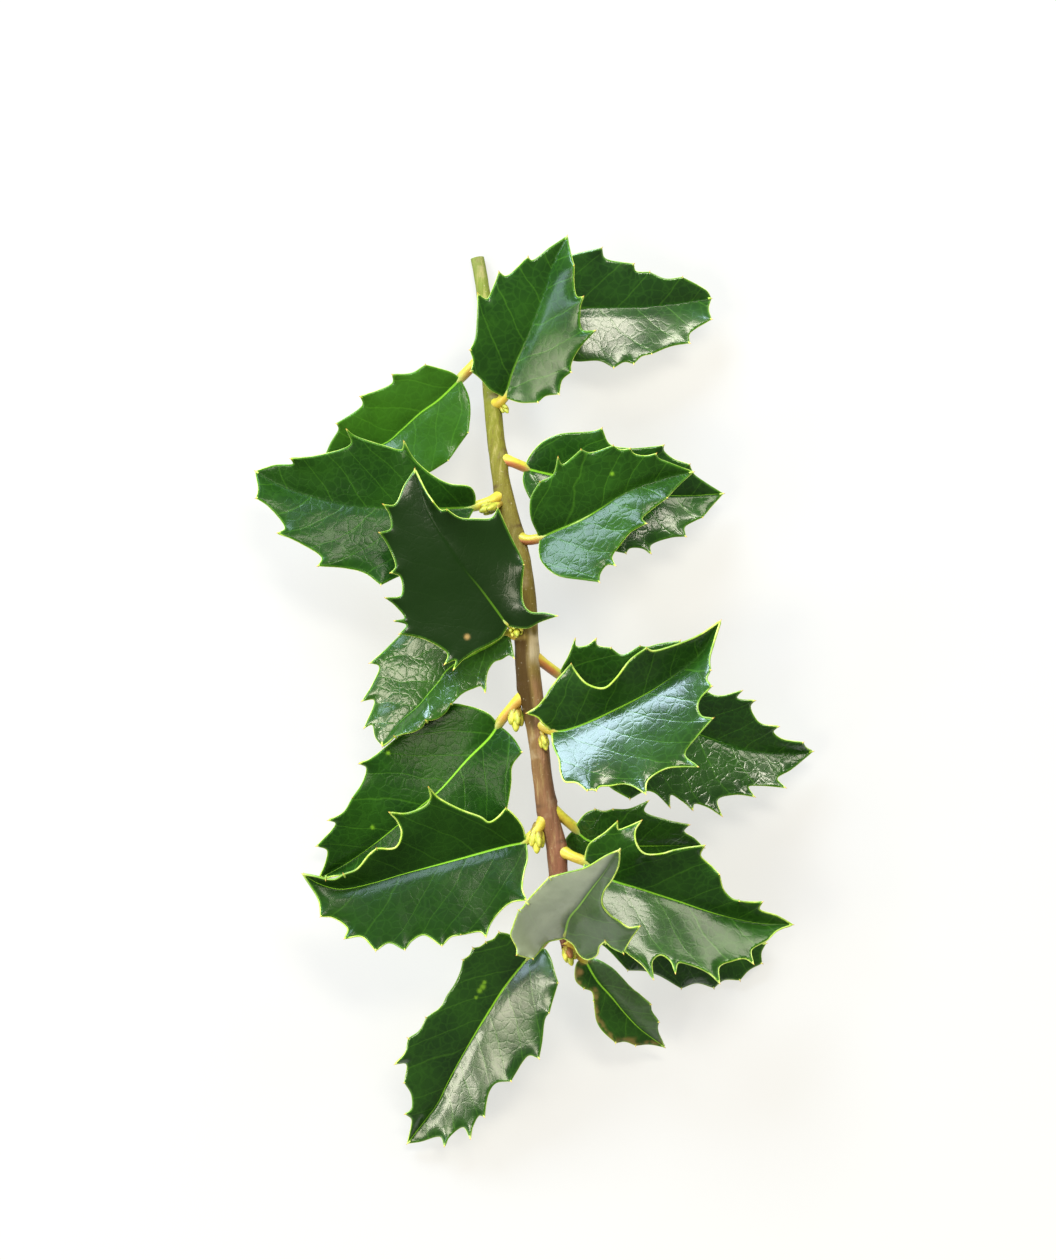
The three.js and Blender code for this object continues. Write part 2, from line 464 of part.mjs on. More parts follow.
    rib: [[11.75, -50, 22.5], [14.75, -52.5, 22.5], [20.5, -53.75, 22.5], [28, -54, 22], [38, -54, 21],
      [44, -54.5, 20]],
    left: [
      [[12, -49, 23], [14.25, -46, 25.5], [16.75, -44.75, 27]],
      [[21.25, -44.75, 27]],
      [[25, -44.75, 26], [30, -42.75, 27.5]],
      [[29, -45.25, 26], [34.75, -47.5, 25], [40.25, -48.75, 25]],
      [[39, -50.25, 23.5], [41.75, -52.25, 21.5], [44, -54.5, 20]],
    ],
    right: [
      [[10.25, -51.25, 21.5], [9.25, -53.25, 20.3], [11.25, -55.75, 20], [15.5, -58.75, 20],
        [23, -60.5, 20]],
      [[33, -60, 19.5]],
      [[40.5, -57.5, 19]],
      [[44, -54.5, 20]],
    ],
    cup: [1, 1],
  },
  leaf_18: {
    stalk: [[9.6, -77.5, 21.3], [12, -80.5, 20.4]],
    rib: [[14.25, -82.5, 19.5], [17.25, -87.75, 18], [21, -92, 16], [24, -95.75, 13.5], [28, -100, 10.5],
      [34.25, -104.75, 6]],
    left: [
      [[16.5, -82.25, 20.5], [18.5, -83, 21], [21.25, -84.75, 21], [23.25, -86.75, 20.5],
        [25.75, -89.5, 19.5],
        [28, -91.25, 18.5], [30.75, -93.75, 18]],
      [[31, -95.5, 16], [32.75, -98.25, 14.5]],
      [[32.5, -100, 12], [34.25, -104.75, 6]],
    ],
    right: [
      [[12.5, -83, 19.5], [11.75, -85.5, 20], [12, -87.75, 20], [14, -89.75, 19.5]],
      [[16, -90.5, 18.5], [16.5, -93, 18]],
      [[16.75, -95.25, 16.5], [17.25, -98, 15], [18.5, -100.25, 14], [22, -103.5, 12.5]],
      [[24.5, -103.25, 10.5], [27, -104.25, 9.5]],
      [[30.5, -104, 7.5], [34.25, -104.75, 6]],
    ],
    cup: [1, 1],
  },
};

// The bud clusters. middle: where the core is. points: the way the buds look. core and bud: their radii.
// under: the leaves whose stalks the cluster is bent clear of.
const BUD_CLUSTERS = {
  buds_leaf_01: {
    middle: [-6.2, 55.9, 14.9],
    points: [0.3, -0.6, 0.7],
    core: 1.1,
    count: 4,
    bud: 0.75,
    under: ['leaf_01'],
  },
  buds_leaf_04: {
    middle: [-9.2, 30.7, 22.2],
    points: [-0.3, -0.3, 0.9],
    core: 1.7,
    count: 7,
    bud: 1.1,
    under: ['leaf_04'],
  },
  buds_leaf_05: {
    middle: [-2.9, -0.6, 27.2],
    points: [-0.4, -0.4, 0.8],
    core: 1.2,
    count: 5,
    bud: 0.85,
    under: ['leaf_05', 'leaf_06'],
  },
  buds_leaf_11: {
    middle: [-3, -21.8, 24.9],
    points: [-0.2, -0.6, 0.7],
    core: 1.7,
    count: 8,
    bud: 1.15,
    under: ['leaf_11'],
  },
  buds_leaf_10: {
    middle: [3.8, -27.4, 27.6],
    points: [0.3, -0.5, 0.8],
    core: 1.4,
    count: 6,
    bud: 1,
    under: ['leaf_10'],
  },
  buds_leaf_12: {
    middle: [2.2, -52, 26.2],
    points: [0, -0.4, 0.9],
    core: 1.6,
    count: 8,
    bud: 1.15,
    under: ['leaf_12'],
  },
  terminal_bud: {
    middle: [10.1, -80.7, 21.2],
    points: [0.1, -0.8, 0.5],
    core: 1.7,
    count: 7,
    bud: 1.2,
    under: ['leaf_18', 'leaf_13'],
  },
};

const vector = (numbers) => new THREE.Vector3(numbers[0], numbers[1], numbers[2]);

const smoothCurve = (points) => new THREE.CatmullRomCurve3(points, false, 'centripetal');

// A closed mesh as a manifold solid.
function solid(positions, triangles) {
  return new wasm.Manifold(new wasm.Mesh({
    numProp: 3,
    vertProperties: new Float32Array(positions),
    triVerts: new Uint32Array(triangles),
  }));
}

// A round tube with closed ends along a smooth curve, whose radius follows its own list along the way.
function tube(points, radii, sides, steps) {
  const curve = smoothCurve(points);
  const frames = curve.computeFrenetFrames(steps, false);
  const radiusPoints = radii.map((radius, i) => new THREE.Vector3(radius, i / (radii.length - 1), 0));
  const radiusLine = smoothCurve(radiusPoints);
  const positions = [];
  const triangles = [];
  for (let i = 0; i <= steps; i += 1) {
    const middle = curve.getPoint(i / steps);
    const radius = radiusLine.getPoint(i / steps).x;
    for (let j = 0; j < sides; j += 1) {
      const angle = (2 * Math.PI * j) / sides;
      const out = frames.normals[i].clone().multiplyScalar(Math.cos(angle) * radius);
      out.addScaledVector(frames.binormals[i], Math.sin(angle) * radius);
      positions.push(...middle.clone().add(out).toArray());
    }
  }
  for (let i = 0; i < steps; i += 1) {
    for (let j = 0; j < sides; j += 1) {
      const a = i * sides + j;
      const b = i * sides + ((j + 1) % sides);
      triangles.push(a, b, a + sides, b, b + sides, a + sides);
    }
  }
  const first = positions.length / 3;
  positions.push(...curve.getPoint(0).toArray(), ...curve.getPoint(1).toArray());
  for (let j = 0; j < sides; j += 1) {
    const next = (j + 1) % sides;
    triangles.push(first, next, j, first + 1, steps * sides + j, steps * sides + next);
  }
  return solid(positions, triangles);
}

// One side's edge as points from the blade's base to its tip. inward is +1 on the left and -1 on the right.
function edgePoints(base, stretches, inward) {
  const points = [base];
  let start = base;
  for (const stretch of stretches) {
    const ends = stretch.map(vector);
    const spine = ends[ends.length - 1];
    const way = [start, ...ends];
    if (ends.length === 1) {
      const along = spine.clone().sub(start);
      const middle = start.clone().add(spine).multiplyScalar(0.5);
      middle.x += inward * along.y * SCALLOP_DEPTH;
      middle.y -= inward * along.x * SCALLOP_DEPTH;
      way.splice(1, 0, middle);
    }
    const curve = smoothCurve(way);
    const steps = Math.max(2, Math.ceil(curve.getLength() / EDGE_STEP));
    points.push(...curve.getSpacedPoints(steps).slice(1));
    start = spine;
  }
  return points;
}

// How far along each point of a line is, from 0 to 1.
function shares(points) {
  const lengths = [0];
  points.slice(1).forEach((point, i) => lengths.push(lengths[i] + point.distanceTo(points[i])));
  return lengths.map((length) => length / lengths[lengths.length - 1]);
}

function pointAtShare(points, along, share) {
  const wanted = Math.min(Math.max(share, 0), 1);
  let i = 1;
  while (i < points.length - 1 && along[i] < wanted) i += 1;
  const part = (wanted - along[i - 1]) / (along[i] - along[i - 1]);
  return points[i - 1].clone().lerp(points[i], part);
}

const ribShareOfEdge = (share) => share - VEIN_LEAN * Math.sin(Math.PI * share);

// The row of points between the midrib and one edge, without the edge's teeth.
function middleRow(ribCurve, edge, cup) {
  const along = shares(edge);
  const row = [];
  for (let i = 1; i < MIDDLE_STEPS; i += 1) {
    const share = i / MIDDLE_STEPS;
    const onRib = ribCurve.getPointAt(ribShareOfEdge(share));
    const onEdge = new THREE.Vector3();
    EVEN_SHIFTS.forEach((shift) => {
      onEdge.addScaledVector(pointAtShare(edge, along, share + shift * SMOOTHING), 1 / EVEN_SHIFTS.length);
    });
    const point = onRib.clone().lerp(onEdge, MIDDLE_SHARE);
    point.z = onRib.z + (onEdge.z - onRib.z) * MIDDLE_SHARE ** cup;
    row.push(point);
  }
  return row;
}

// Twice a triangle's area as seen from above, negative where it is folded over.
const planArea = (a, b, c) => (b.x - a.x) * (c.y - a.y) - (c.x - a.x) * (b.y - a.y);

// Triangles between two rows of numbered points that both run from base to tip, row A on the right: of all
// the ways to join the rows, the one with the shortest cross lines that folds over nowhere.
function zip(points, rowA, rowB) {
  const lastA = rowA.length - 1;
  const lastB = rowB.length - 1;
  const ways = [];
  for (let a = 0; a <= lastA; a += 1) {
    ways.push([]);
    for (let b = 0; b <= lastB; b += 1) {
      const crossLine = points[rowA[a]].distanceTo(points[rowB[b]]);
      const choices = [];
      if (a > 0) choices.push({ from: ways[a - 1][b], triangle: [rowA[a - 1], rowA[a], rowB[b]] });
      if (b > 0) choices.push({ from: ways[a][b - 1], triangle: [rowA[a], rowB[b], rowB[b - 1]] });
      let best = { cost: 0, from: null, triangle: [] };
      choices.forEach((choice) => {
        const flat = new Set(choice.triangle).size < 3;
        const folded = !flat && planArea(...choice.triangle.map((number) => points[number])) < LEAST_AREA;
        choice.cost = choice.from.cost + crossLine + (folded ? FOLD_COST : 0);
        if (flat) choice.triangle = [];
        if (best.from === null || choice.cost < best.cost) best = choice;
      });
      ways[a].push(best);
    }
  }
  const triangles = [];
  for (let way = ways[lastA][lastB]; way.from; way = way.from) triangles.push(...way.triangle);
  return triangles;
}

// The blade's upper surface: its points, its triangles and how far along the midrib each rib point is.
function upperSurface(leaf) {
  const ribCurve = smoothCurve(leaf.rib.map(vector));
  const points = ribCurve.getSpacedPoints(RIB_STEPS);
  const ribShares = points.map((point, i) => i / RIB_STEPS);
  const rib = points.map((point, i) => i);
  const triangles = [];
  [[leaf.left, 1, leaf.cup[0]], [leaf.right, -1, leaf.cup[1]]].forEach(([stretches, inward, cup]) => {
    const edgeLine = edgePoints(points[0], stretches, inward);
    const rows = [middleRow(ribCurve, edgeLine, cup), edgeLine.slice(1, -1)].map((row) => {
      const first = points.length;
      points.push(...row);
      return [0, ...row.map((point, i) => first + i), RIB_STEPS];
    });
    const [middle, edge] = rows;
    if (inward === 1) triangles.push(...zip(points, rib, middle), ...zip(points, middle, edge));
    else triangles.push(...zip(points, middle, rib), ...zip(points, edge, middle));
  });
  return { points, triangles, ribShares };
}

// How steeply the surface stands at each point, as the upward part of its unit normal.
function upwardParts(points, triangles) {
  const normals = points.map(() => new THREE.Vector3());
  for (let i = 0; i < triangles.length; i += 3) {
    const [a, b, c] = triangles.slice(i, i + 3);
    const side = points[b].clone().sub(points[a]);
    const normal = side.cross(points[c].clone().sub(points[a]));
    [a, b, c].forEach((number) => normals[number].add(normal));
  }
  return normals.map((normal) => normal.normalize().z);
}

// The wall round a surface's rim, down to its copy below.
function rimWall(triangles, count) {
  const edges = new Set();
  for (let i = 0; i < triangles.length; i += 3) {
    const corner = triangles.slice(i, i + 3);
    corner.forEach((number, j) => edges.add(`${number} ${corner[(j + 1) % 3]}`));
  }
  const wall = [];
  edges.forEach((edge) => {
    const [a, b] = edge.split(' ').map(Number);
    if (!edges.has(`${b} ${a}`)) wall.push(b, a, a + count, b, a + count, b + count);
  });
  return wall;
}

// The blade as a solid. Its underside has the same triangles as its upper side, so the two never cross.
function blade(leaf) {
  const { points, triangles, ribShares } = upperSurface(leaf);
  const upward = upwardParts(points, triangles);
  const below = points.map((point, i) => {
    const keel = i <= RIB_STEPS ? KEEL_DEPTH * (1 - ribShares[i]) : 0;
    const depth = BLADE_THICKNESS * Math.min(1 / upward[i], STEEPEST_OFFSET);
    return new THREE.Vector3(point.x, point.y, point.z - depth - keel);
  });
  const positions = [...points, ...below].flatMap((point) => point.toArray());
  const underside = [];
  for (let i = 0; i < triangles.length; i += 3) {
    const [a, b, c] = triangles.slice(i, i + 3);
    underside.push(a + points.length, c + points.length, b + points.length);
  }
  return solid(positions, [...triangles, ...underside, ...rimWall(triangles, points.length)]);
}

// A leaf's stalk, from inside the twig into the midrib, thicker by the given amount.
function stalk(leaf, extra = 0) {
  const ribCurve = smoothCurve(leaf.rib.map(vector));
  const end = ribCurve.getPointAt(STALK_REACH);
  end.z -= STALK_SINK;
  const base = ribCurve.getPointAt(0);
  base.z -= STALK_SINK;
  const points = [...leaf.stalk.map(vector), base, end];
  const radii = [STALK_RADIUS, STALK_RADIUS, STALK_RADIUS, STALK_TIP_RADIUS];
  return tube(points, radii.map((radius) => radius + extra), STALK_SIDES, STALK_STEPS);
}

// The twig, or the space that its neighbours keep clear of, which is wider and longer by the given amount.
function twig(extra = 0) {
  const points = TWIG.map(vector);
  lengthen(points[0], points[1], extra);
  lengthen(points[points.length - 1], points[points.length - 2], extra);
  return tube(points, TWIG.map((row) => row[3] + extra), TWIG_SIDES, TWIG_STEPS);
}

// Moves an end point away from its neighbour.
function lengthen(end, neighbour, amount) {
  end.addScaledVector(end.clone().sub(neighbour).normalize(), amount);
}

// The space above the surface that the sprig lies on.
function spaceAboveSurface() {
  const box = new THREE.BoxGeometry(FAR, FAR, FAR);
  box.translate(0, 0, FAR / 2);
  return fromGeometry(box);
}

// A closed three.js geometry as a solid, with the points that its faces share merged.
function fromGeometry(geometry) {
  const { position } = geometry.attributes;
  const numbers = new Map();
  const positions = [];
  const merged = [];
  for (let i = 0; i < position.count; i += 1) {
    const point = [position.getX(i), position.getY(i), position.getZ(i)];
    const key = point.map((value) => value.toFixed(MERGE_DIGITS)).join(' ');
    if (!numbers.has(key)) {
      numbers.set(key, positions.length / 3);
      positions.push(...point);
    }
    merged.push(numbers.get(key));
  }
  const index = Array.from(geometry.index.array, (number) => merged[number]);
  const triangles = [];
  for (let i = 0; i < index.length; i += 3) {
    const corner = index.slice(i, i + 3);
    if (new Set(corner).size === 3) triangles.push(...corner);
  }
  return solid(positions, triangles);
}

// One ovoid bud, longer along its axis.
function bud(middle, axis, radius) {
  const ball = new THREE.SphereGeometry(radius, BUD_SIDES, BUD_RINGS);
  ball.scale(1, BUD_LENGTH, 1);
  const turn = new THREE.Quaternion().setFromUnitVectors(new THREE.Vector3(0, 1, 0), axis);
  ball.applyQuaternion(turn);
  ball.translate(middle.x, middle.y, middle.z);
  return fromGeometry(ball);
}

// A cluster of buds that stand out of a small core, spread over the side that it points to.
function budCluster({ middle, points, core, count, bud: budRadius, under }, twigClearance) {
  const centre = vector(middle);
  const axis = vector(points).normalize();
  const turn = new THREE.Quaternion().setFromUnitVectors(new THREE.Vector3(0, 1, 0), axis);
  let cluster = bud(centre, axis, core);
  for (let i = 0; i < count; i += 1) {
    const lean = Math.acos(1 - ((i + FIRST_BUD) / count) * BUD_SPREAD);
    const angle = i * GOLDEN_ANGLE;
    const out = new THREE.Vector3().setFromSphericalCoords(1, lean, angle).applyQuaternion(turn);
    cluster = cluster.add(bud(centre.clone().addScaledVector(out, core), out, budRadius));
  }
  cluster = cluster.subtract(twigClearance);
  under.forEach((name) => {
    cluster = cluster.subtract(stalk(LEAVES[name], SEAT_GAP));
  });
  return cluster;
}

// The largest piece of a solid, where a cut left small scraps beside it.
function largestPiece(shape) {
  const pieces = shape.decompose();
  return pieces.reduce((best, piece) => (piece.volume() > best.volume() ? piece : best));
}

function mesh(name, shape, material) {
  const { vertProperties, triVerts } = shape.getMesh();
  const geometry = new THREE.BufferGeometry();
  geometry.setAttribute('position', new THREE.BufferAttribute(new Float32Array(vertProperties), 3));
  geometry.setIndex(new THREE.BufferAttribute(new Uint32Array(triVerts), 1));
  const part = new THREE.Mesh(geometry, material);
  part.name = name;
  return part;
}

const finish = (color, roughness) => new THREE.MeshStandardMaterial({
  color,
  roughness,
  metalness: 0,
  flatShading: true,
});

const leafFinish = finish(0x24561f, 0.3);
const barkFinish = finish(0x8a6f4c, 0.6);
const budFinish = finish(0xc9c24a, 0.5);

const sprig = new THREE.Group();
const aboveSurface = spaceAboveSurface();
const twigClearance = twig(SEAT_GAP);

sprig.add(mesh('stem', twig().intersect(aboveSurface), barkFinish));
Object.entries(LEAVES).forEach(([name, leaf]) => {
  const shape = blade(leaf).add(stalk(leaf)).subtract(twigClearance).intersect(aboveSurface);
  sprig.add(mesh(name, largestPiece(shape), leafFinish));
});
Object.entries(BUD_CLUSTERS).forEach(([name, cluster]) => {
  sprig.add(mesh(name, largestPiece(budCluster(cluster, twigClearance)), budFinish));
});
sprig.position.copy(TABLE_ORIGIN).negate();

export default sprig;
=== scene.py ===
"""A cut sprig of common holly on a pale surface: fine leaves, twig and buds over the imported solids.

Lengths in the tables are millimetres. Each leaf is a thin skin stretched between its midrib and its two
spiny edges, with veins and blisters raised in the mesh, and a stalk that runs on as the keel underneath.
"""
import math

import bpy
import numpy as np
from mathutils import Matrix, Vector
from mathutils.geometry import delaunay_2d_cdt


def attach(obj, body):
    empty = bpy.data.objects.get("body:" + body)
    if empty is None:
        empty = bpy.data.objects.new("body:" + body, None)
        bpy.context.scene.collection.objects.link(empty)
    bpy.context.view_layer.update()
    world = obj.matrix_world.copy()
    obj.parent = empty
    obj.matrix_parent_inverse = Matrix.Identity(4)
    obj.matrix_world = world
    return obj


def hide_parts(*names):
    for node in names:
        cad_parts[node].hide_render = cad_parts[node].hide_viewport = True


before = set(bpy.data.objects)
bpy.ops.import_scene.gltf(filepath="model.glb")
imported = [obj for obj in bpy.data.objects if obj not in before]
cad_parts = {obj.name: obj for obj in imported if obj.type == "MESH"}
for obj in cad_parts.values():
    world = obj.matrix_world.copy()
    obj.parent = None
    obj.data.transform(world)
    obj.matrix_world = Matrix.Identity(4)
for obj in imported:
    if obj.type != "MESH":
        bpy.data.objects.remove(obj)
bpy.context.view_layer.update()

MM = 0.001
CM_PER_MM = 0.1
TABLE_ORIGIN = np.array([1.6, -15.5, 0.0])   # the tables' zero, counted from the frame's origin

# The camera looks straight down from far away.
CAMERA_HEIGHT = 4000.0
FRAME_HEIGHT = 315.0         # what its picture takes in, from top to bottom
FRAME_LEVEL = 24.0           # how high above the floor it takes in that much
SENSOR_HEIGHT = 24.0

# Leaves.
SKIN_STEP = 0.45             # the distance between the points of a leaf's skin
GRID_CLEARANCE = 0.6         # how many steps the grid's points keep off the edge and the midrib
EDGE_STEP = 0.4
SCALLOP_DEPTH = 0.13         # a plain scallop's depth, as a share of its width
CUP_START = 0.02             # the share of a blade's half over which its cup hasn't started
BLADE_THICKNESS = 0.42
RIM_RADIUS = 0.28            # of the thick margin
RIM_SIDES = 8
RIM_TAPER = 1.5              # the margin is thinner over this length, beside a spine
RIM_THINNEST = 0.75
SPINE_LENGTH = 1.3
SPINE_RISE = 0.25            # how steeply a spine points up
SPINE_TIP_RADIUS = 0.03
STALK_SIDES = 14
STALK_STEP = 0.6
STALK_FOOT_RADIUS = 1.9      # of the stalk where it clasps the twig
STALK_RADIUS = 1.3
STALK_FULL = (0.45, 0.9)     # the stretch of the bare stalk that has this radius, as shares of it
KEEL_STEP = 1.0
KEEL_RADIUS = 0.75           # of the midrib's underside at the blade's base
KEEL_BLEND = 3.0             # how far past the blade's base the stalk narrows to the keel
KEEL_DEPTH = 0.32            # of the keel's top below the upper skin
KEEL_TIP_RADIUS = 0.22
KEEL_TAPER = 0.6             # under 1 the keel narrows most at its start
VEIN_SPACING = 9.0
VEIN_LEAN = 0.75             # how far a side vein runs on towards the tip for each step away from the rib
VEIN_CURVE = 0.018
VEIN_DEPTH = 0.03
VEIN_WIDTH = 0.5
VEIN_DRIFT = 3.0             # how far a side vein starts from its even place
VEIN_DRIFT_LENGTH = 13.0
VEIN_WAVER = 0.5             # how far it leaves its even curve
VEIN_STAGGER = 0.25          # between the two halves, as a share of the spacing
BLISTER = 0.12
BLISTER_START = 5.0          # off the midrib
UNEVENNESS = 0.3
UNEVEN_LENGTH = 11.0         # from one broad swelling of the blade to the next
PUCKER = 0.018               # of the blade between its fine veins
PUCKER_LENGTH = 2.6
CALM_EDGE = 3.5              # relief fades out over these lengths, at the edge and at the tip
CALM_TIP = 6.0
ROLL_HEIGHT = 0.5            # how far the blade stands above its margin, which bends down
ROLL_WIDTH = 2.8
ROLL_LENGTH = 7.0            # from a strong roll of the margin to a weak one
ROLL_START = 3.0             # off the midrib
RIB_GROOVE = 0.06
RIB_GROOVE_WIDTH = 0.7
RIB_GROOVE_START = 4.0       # from the blade's base
WORN_WIDTH = 1.1             # a worn margin, beside the edge
WORN_WAVE = 1.7              # from one deep bite of it to the next
WORN_PATCH = 0.9
PAINTED_GLARE_LEAST = 0.15            # of the painted glare, a grey painted reflection, on the right half of a blade that has it
FLOOR_CLEARANCE = 0.02

# Twig.
TWIG_STEP = 0.4
TWIG_SIDES = 40
NODE_SWELLING = 0.35         # of the twig round a stalk's foot
NODE_LENGTH = 2.2
NODE_TURN = 0.9              # how far round the twig it reaches, in radians
RIDGE = 0.16                 # it runs down the twig from each stalk
RIDGE_TURN = 0.22
RIDGE_LENGTH = 14.0
SCAR_DROP = 1.8              # of a leaf scar below its stalk
SCAR_LENGTH = 0.45
SCAR_TURN = 0.8
SCAR_SHADE = 0.8
GRAIN = 0.05
KNOBBLE = 0.05
PAINTED_LIGHT_STRETCH = (-10.5, 0.5)    # the stretch of the twig, in the tables' y, whose right side is painted pale as painted light
PAINTED_SHADE_STRETCH = (-26.0, -2.0)  # the same for its left side, painted dark as painted shade, below the flower buds at leaf_05
PATCH_WAVE = 2.0             # how ragged the ends of both are
TWIG_CUT_Y = 0.1095          # the frame's y of the twig's two ends, in metres
TWIG_TIP_Y = -0.0640

# Buds.
BUD_LENGTH = 2.5             # how many times its radius half a bud is long
BUD_SPLAY = 0.22             # how far the outer buds lean out
BUD_RINGS = 11
BUD_SIDES = 16
BUD_WAIST = 0.9              # a bud's radius between its petals, as a share
PETAL_FOLD = 0.12            # how far the petals stand out past that
CREASE_SHADE = 0.6           # how brown the creases between petals are, and the foot of a bud
BUD_FOOT_SHADE = 0.77
SCALES = 3                   # round each bud, and round each cluster
SCALE_ROWS = 6
SCALE_COLUMNS = 5
SCALE_HEIGHTS = (-0.9, 0.25)  # of a scale's foot and point, in half lengths of its bud
SCALE_WIDTH = 0.75           # half of it, in radians
SCALE_REACH = 1.1            # how far a scale stands off its bud's axis, in radii
SCALE_THICKNESS = 0.1        # as a share of that
SCALE_SHADES = (0.9, 0.45)   # how brown its foot and its point are

# Colours.
LEAF_DARK = (0.008, 0.024, 0.004)
LEAF_DEEP = (0.009, 0.039, 0.005)
LEAF_MID = (0.017, 0.068, 0.006)
LEAF_LIGHT = (0.075, 0.24, 0.012)
LEAF_NET = (0.04, 0.14, 0.012)
LEAF_VEIN = (0.11, 0.33, 0.02)
SPOT_TAN = (0.36, 0.23, 0.08)
SPOT_LIME = (0.18, 0.38, 0.02)
# the grey of a painted glare: the floor's reflection, painted into a leaf's colour
LEAF_PAINTED_GLARE = (0.52, 0.6, 0.43)
RIB_COLOUR = (0.23, 0.52, 0.03)
UNDER_DEEP = (0.13, 0.26, 0.05)
UNDER_LIGHT = (0.23, 0.38, 0.08)
UNDER_VEIN = (0.35, 0.48, 0.11)
RIM_COLOUR = (0.42, 0.64, 0.05)
RIM_LIGHT = (0.68, 0.82, 0.18)
SPINE_COLOUR = (0.76, 0.66, 0.13)
SPINE_TIP_COLOUR = (0.64, 0.26, 0.05)
STALK_YELLOW = (0.64, 0.56, 0.04)
STALK_RED = (0.56, 0.19, 0.08)
STALK_BROWN = (0.42, 0.23, 0.03)
BARK_DARK = (0.11, 0.06, 0.025)
BARK_LIGHT = (0.56, 0.44, 0.18)
BARK_GREY = (0.44, 0.33, 0.19)
# painted shade on the twig's left side
BARK_PAINTED_SHADE = (0.052, 0.026, 0.004)
# the pale of the twig's specks, and painted light on its right side
BARK_SPECK_AND_PAINTED_LIGHT = (0.6, 0.5, 0.33)
# a rosier painted light on the twig's right side
BARK_PAINTED_ROSY_LIGHT = (0.3, 0.13, 0.085)
BARK_SCAR = (0.08, 0.04, 0.02)
WOOD_COLOUR = (0.56, 0.56, 0.28)
BARK_COLOURS = [             # from the growing tip to the cut end
    (0.0, (0.168, 0.06, 0.041)),
    (0.12, (0.212, 0.083, 0.045)),
    (0.3, (0.2, 0.115, 0.04)),
    (0.46, (0.155, 0.112, 0.024)),
    (0.6, (0.185, 0.14, 0.024)),
    (0.75, (0.19, 0.185, 0.02)),
    (0.9, (0.175, 0.208, 0.024)),
    (1.0, (0.18, 0.225, 0.045)),
]
# painted light and shade on the twig: each patch's strength and colour
BARK_PAINTED_LIGHT_AND_SHADE = {"rose": (0.3, BARK_PAINTED_ROSY_LIGHT), "pale": (0.6, BARK_SPECK_AND_PAINTED_LIGHT), "brown": (0.95, BARK_PAINTED_SHADE)}
BUD_GREEN = (0.36, 0.39, 0.03)
BUD_YELLOW = (0.62, 0.56, 0.06)
BUD_BROWN = (0.26, 0.13, 0.02)
BUD_RED = (0.3, 0.07, 0.03)

# Lines and nets of the materials. Scales of nets are meshes to a centimetre.
RIB_WIDTH = 0.33             # half of the midrib's bright line, at the base and at the tip
RIB_TIP_WIDTH = 0.1
NET_SCALE = 4.4
FINE_NET_SCALE = 9.5
UNDER_NET_SCALE = 5.0
NET_WOBBLE = 0.6
NET_DEPTH = 0.03
GROOVE_WIDTH = 0.12          # of the net's grooves, as a share of a mesh
FINE_NET_SHARE = 0.35        # of the fine net's relief
NET_SHADE = 0.22             # how much lighter the grooves and the side veins are
VEIN_SHADE = 0.2
VEIN_BEND = 0.16             # how far the drawn side veins waver, as a share of their spacing
VEIN_LINE = 0.3              # how wide they are drawn, above and below
UNDER_VEIN_LINE = 0.5
UNDER_VEIN_SHADE = 0.7
UNDER_NET_DEPTH = 0.06

# Ramps of the materials: they run from a low to a high value, and may give other ends than 0 and 1.
MARGIN_LINE = (0.15, 0.6, 0.4, 0.0)      # by the distance from the edge
RIB_LINE = (0.5, 1.2, 1.0, 0.0)          # by the distance from the midrib, in widths of its line
RIB_FADE = (0.0, 0.35, 1.0, 0.0)         # past the line's reach, as a share of the blade
RIB_DULLNESS = (0.25, 0.75, 0.25, 1.0)   # of the shine, by the distance from the midrib
UNDER_NET_LINE = (0.0, 0.1, 0.3, 0.0)
SPINE_SHARP = (0.2, 0.7)                 # where the spine's colour starts, by how sharp it is
SPINE_TIP_SHARP = (0.65, 1.0)
STALK_SHADE_SIDE = (0.25, -0.35)         # by how far the stalk's surface faces the cut end
STALK_TINT = (0.0, 0.6)
STALK_BARE = (0.05, 0.45)                # where the keel's colour gives way to the stalk's
STREAK_DARK = (0.5, 0.75, 0.0, 0.5)
STREAK_LIGHT = (0.5, 0.25, 0.0, 0.35)

# Mottles of the materials: their noise's scale, detail and roughness, and the ramp over it.
MOTTLES = {
    "leaf": (0.7, 4.0, 0.6, 0.3, 0.7),
    "leaf_painted_glare": (1.2, 3.0, 0.5, 0.3, 0.7, 0.7, 1.0),
    "leaf_roughness": (1.5, 3.0, 0.5, 0.3, 0.7, 0.26, 0.34),
    "under": (0.8, 4.0, 0.5, 0.3, 0.7),
    "rim": (500.0, 3.0, 0.5, 0.35, 0.65),
    "rim_green": (90.0, 2.0, 0.5, 0.4, 0.65, 0.0, 0.7),
    "stalk": (350.0, 4.0, 0.5, 0.4, 0.7, 0.0, 0.5),
    "bark_grey": (160.0, 3.0, 0.6, 0.55, 0.75, 0.0, 0.45),
    "bark_specks": (1300.0, 1.0, 0.5, 0.7, 0.75, 0.0, 0.3),
    "bud": (600.0, 3.0, 0.5, 0.35, 0.65),
}
# Grains of the materials: their noise's scale and detail, and their depth.
STALK_GRAIN = (900.0, 3.0, 0.12)
BARK_GRAIN = (2200.0, 2.0, 0.08)
BUD_GRAIN = (1500.0, 2.0, 0.08)
BARK_STREAKS = (900.0, 4.0, 0.6)         # scale, detail and roughness
STREAK_DEPTH = 0.35

# Stage.
FLOOR_SIZE = 12000.0
FLOOR_COLOUR = (0.20, 0.20, 0.20)
FLOOR_GLOW_COLOUR = (1.0, 0.985, 0.95)
FLOOR_GLOW = 0.67
WORLD_COLOUR = (1.0, 0.97, 0.92)
WORLD_STRENGTH = 0.18

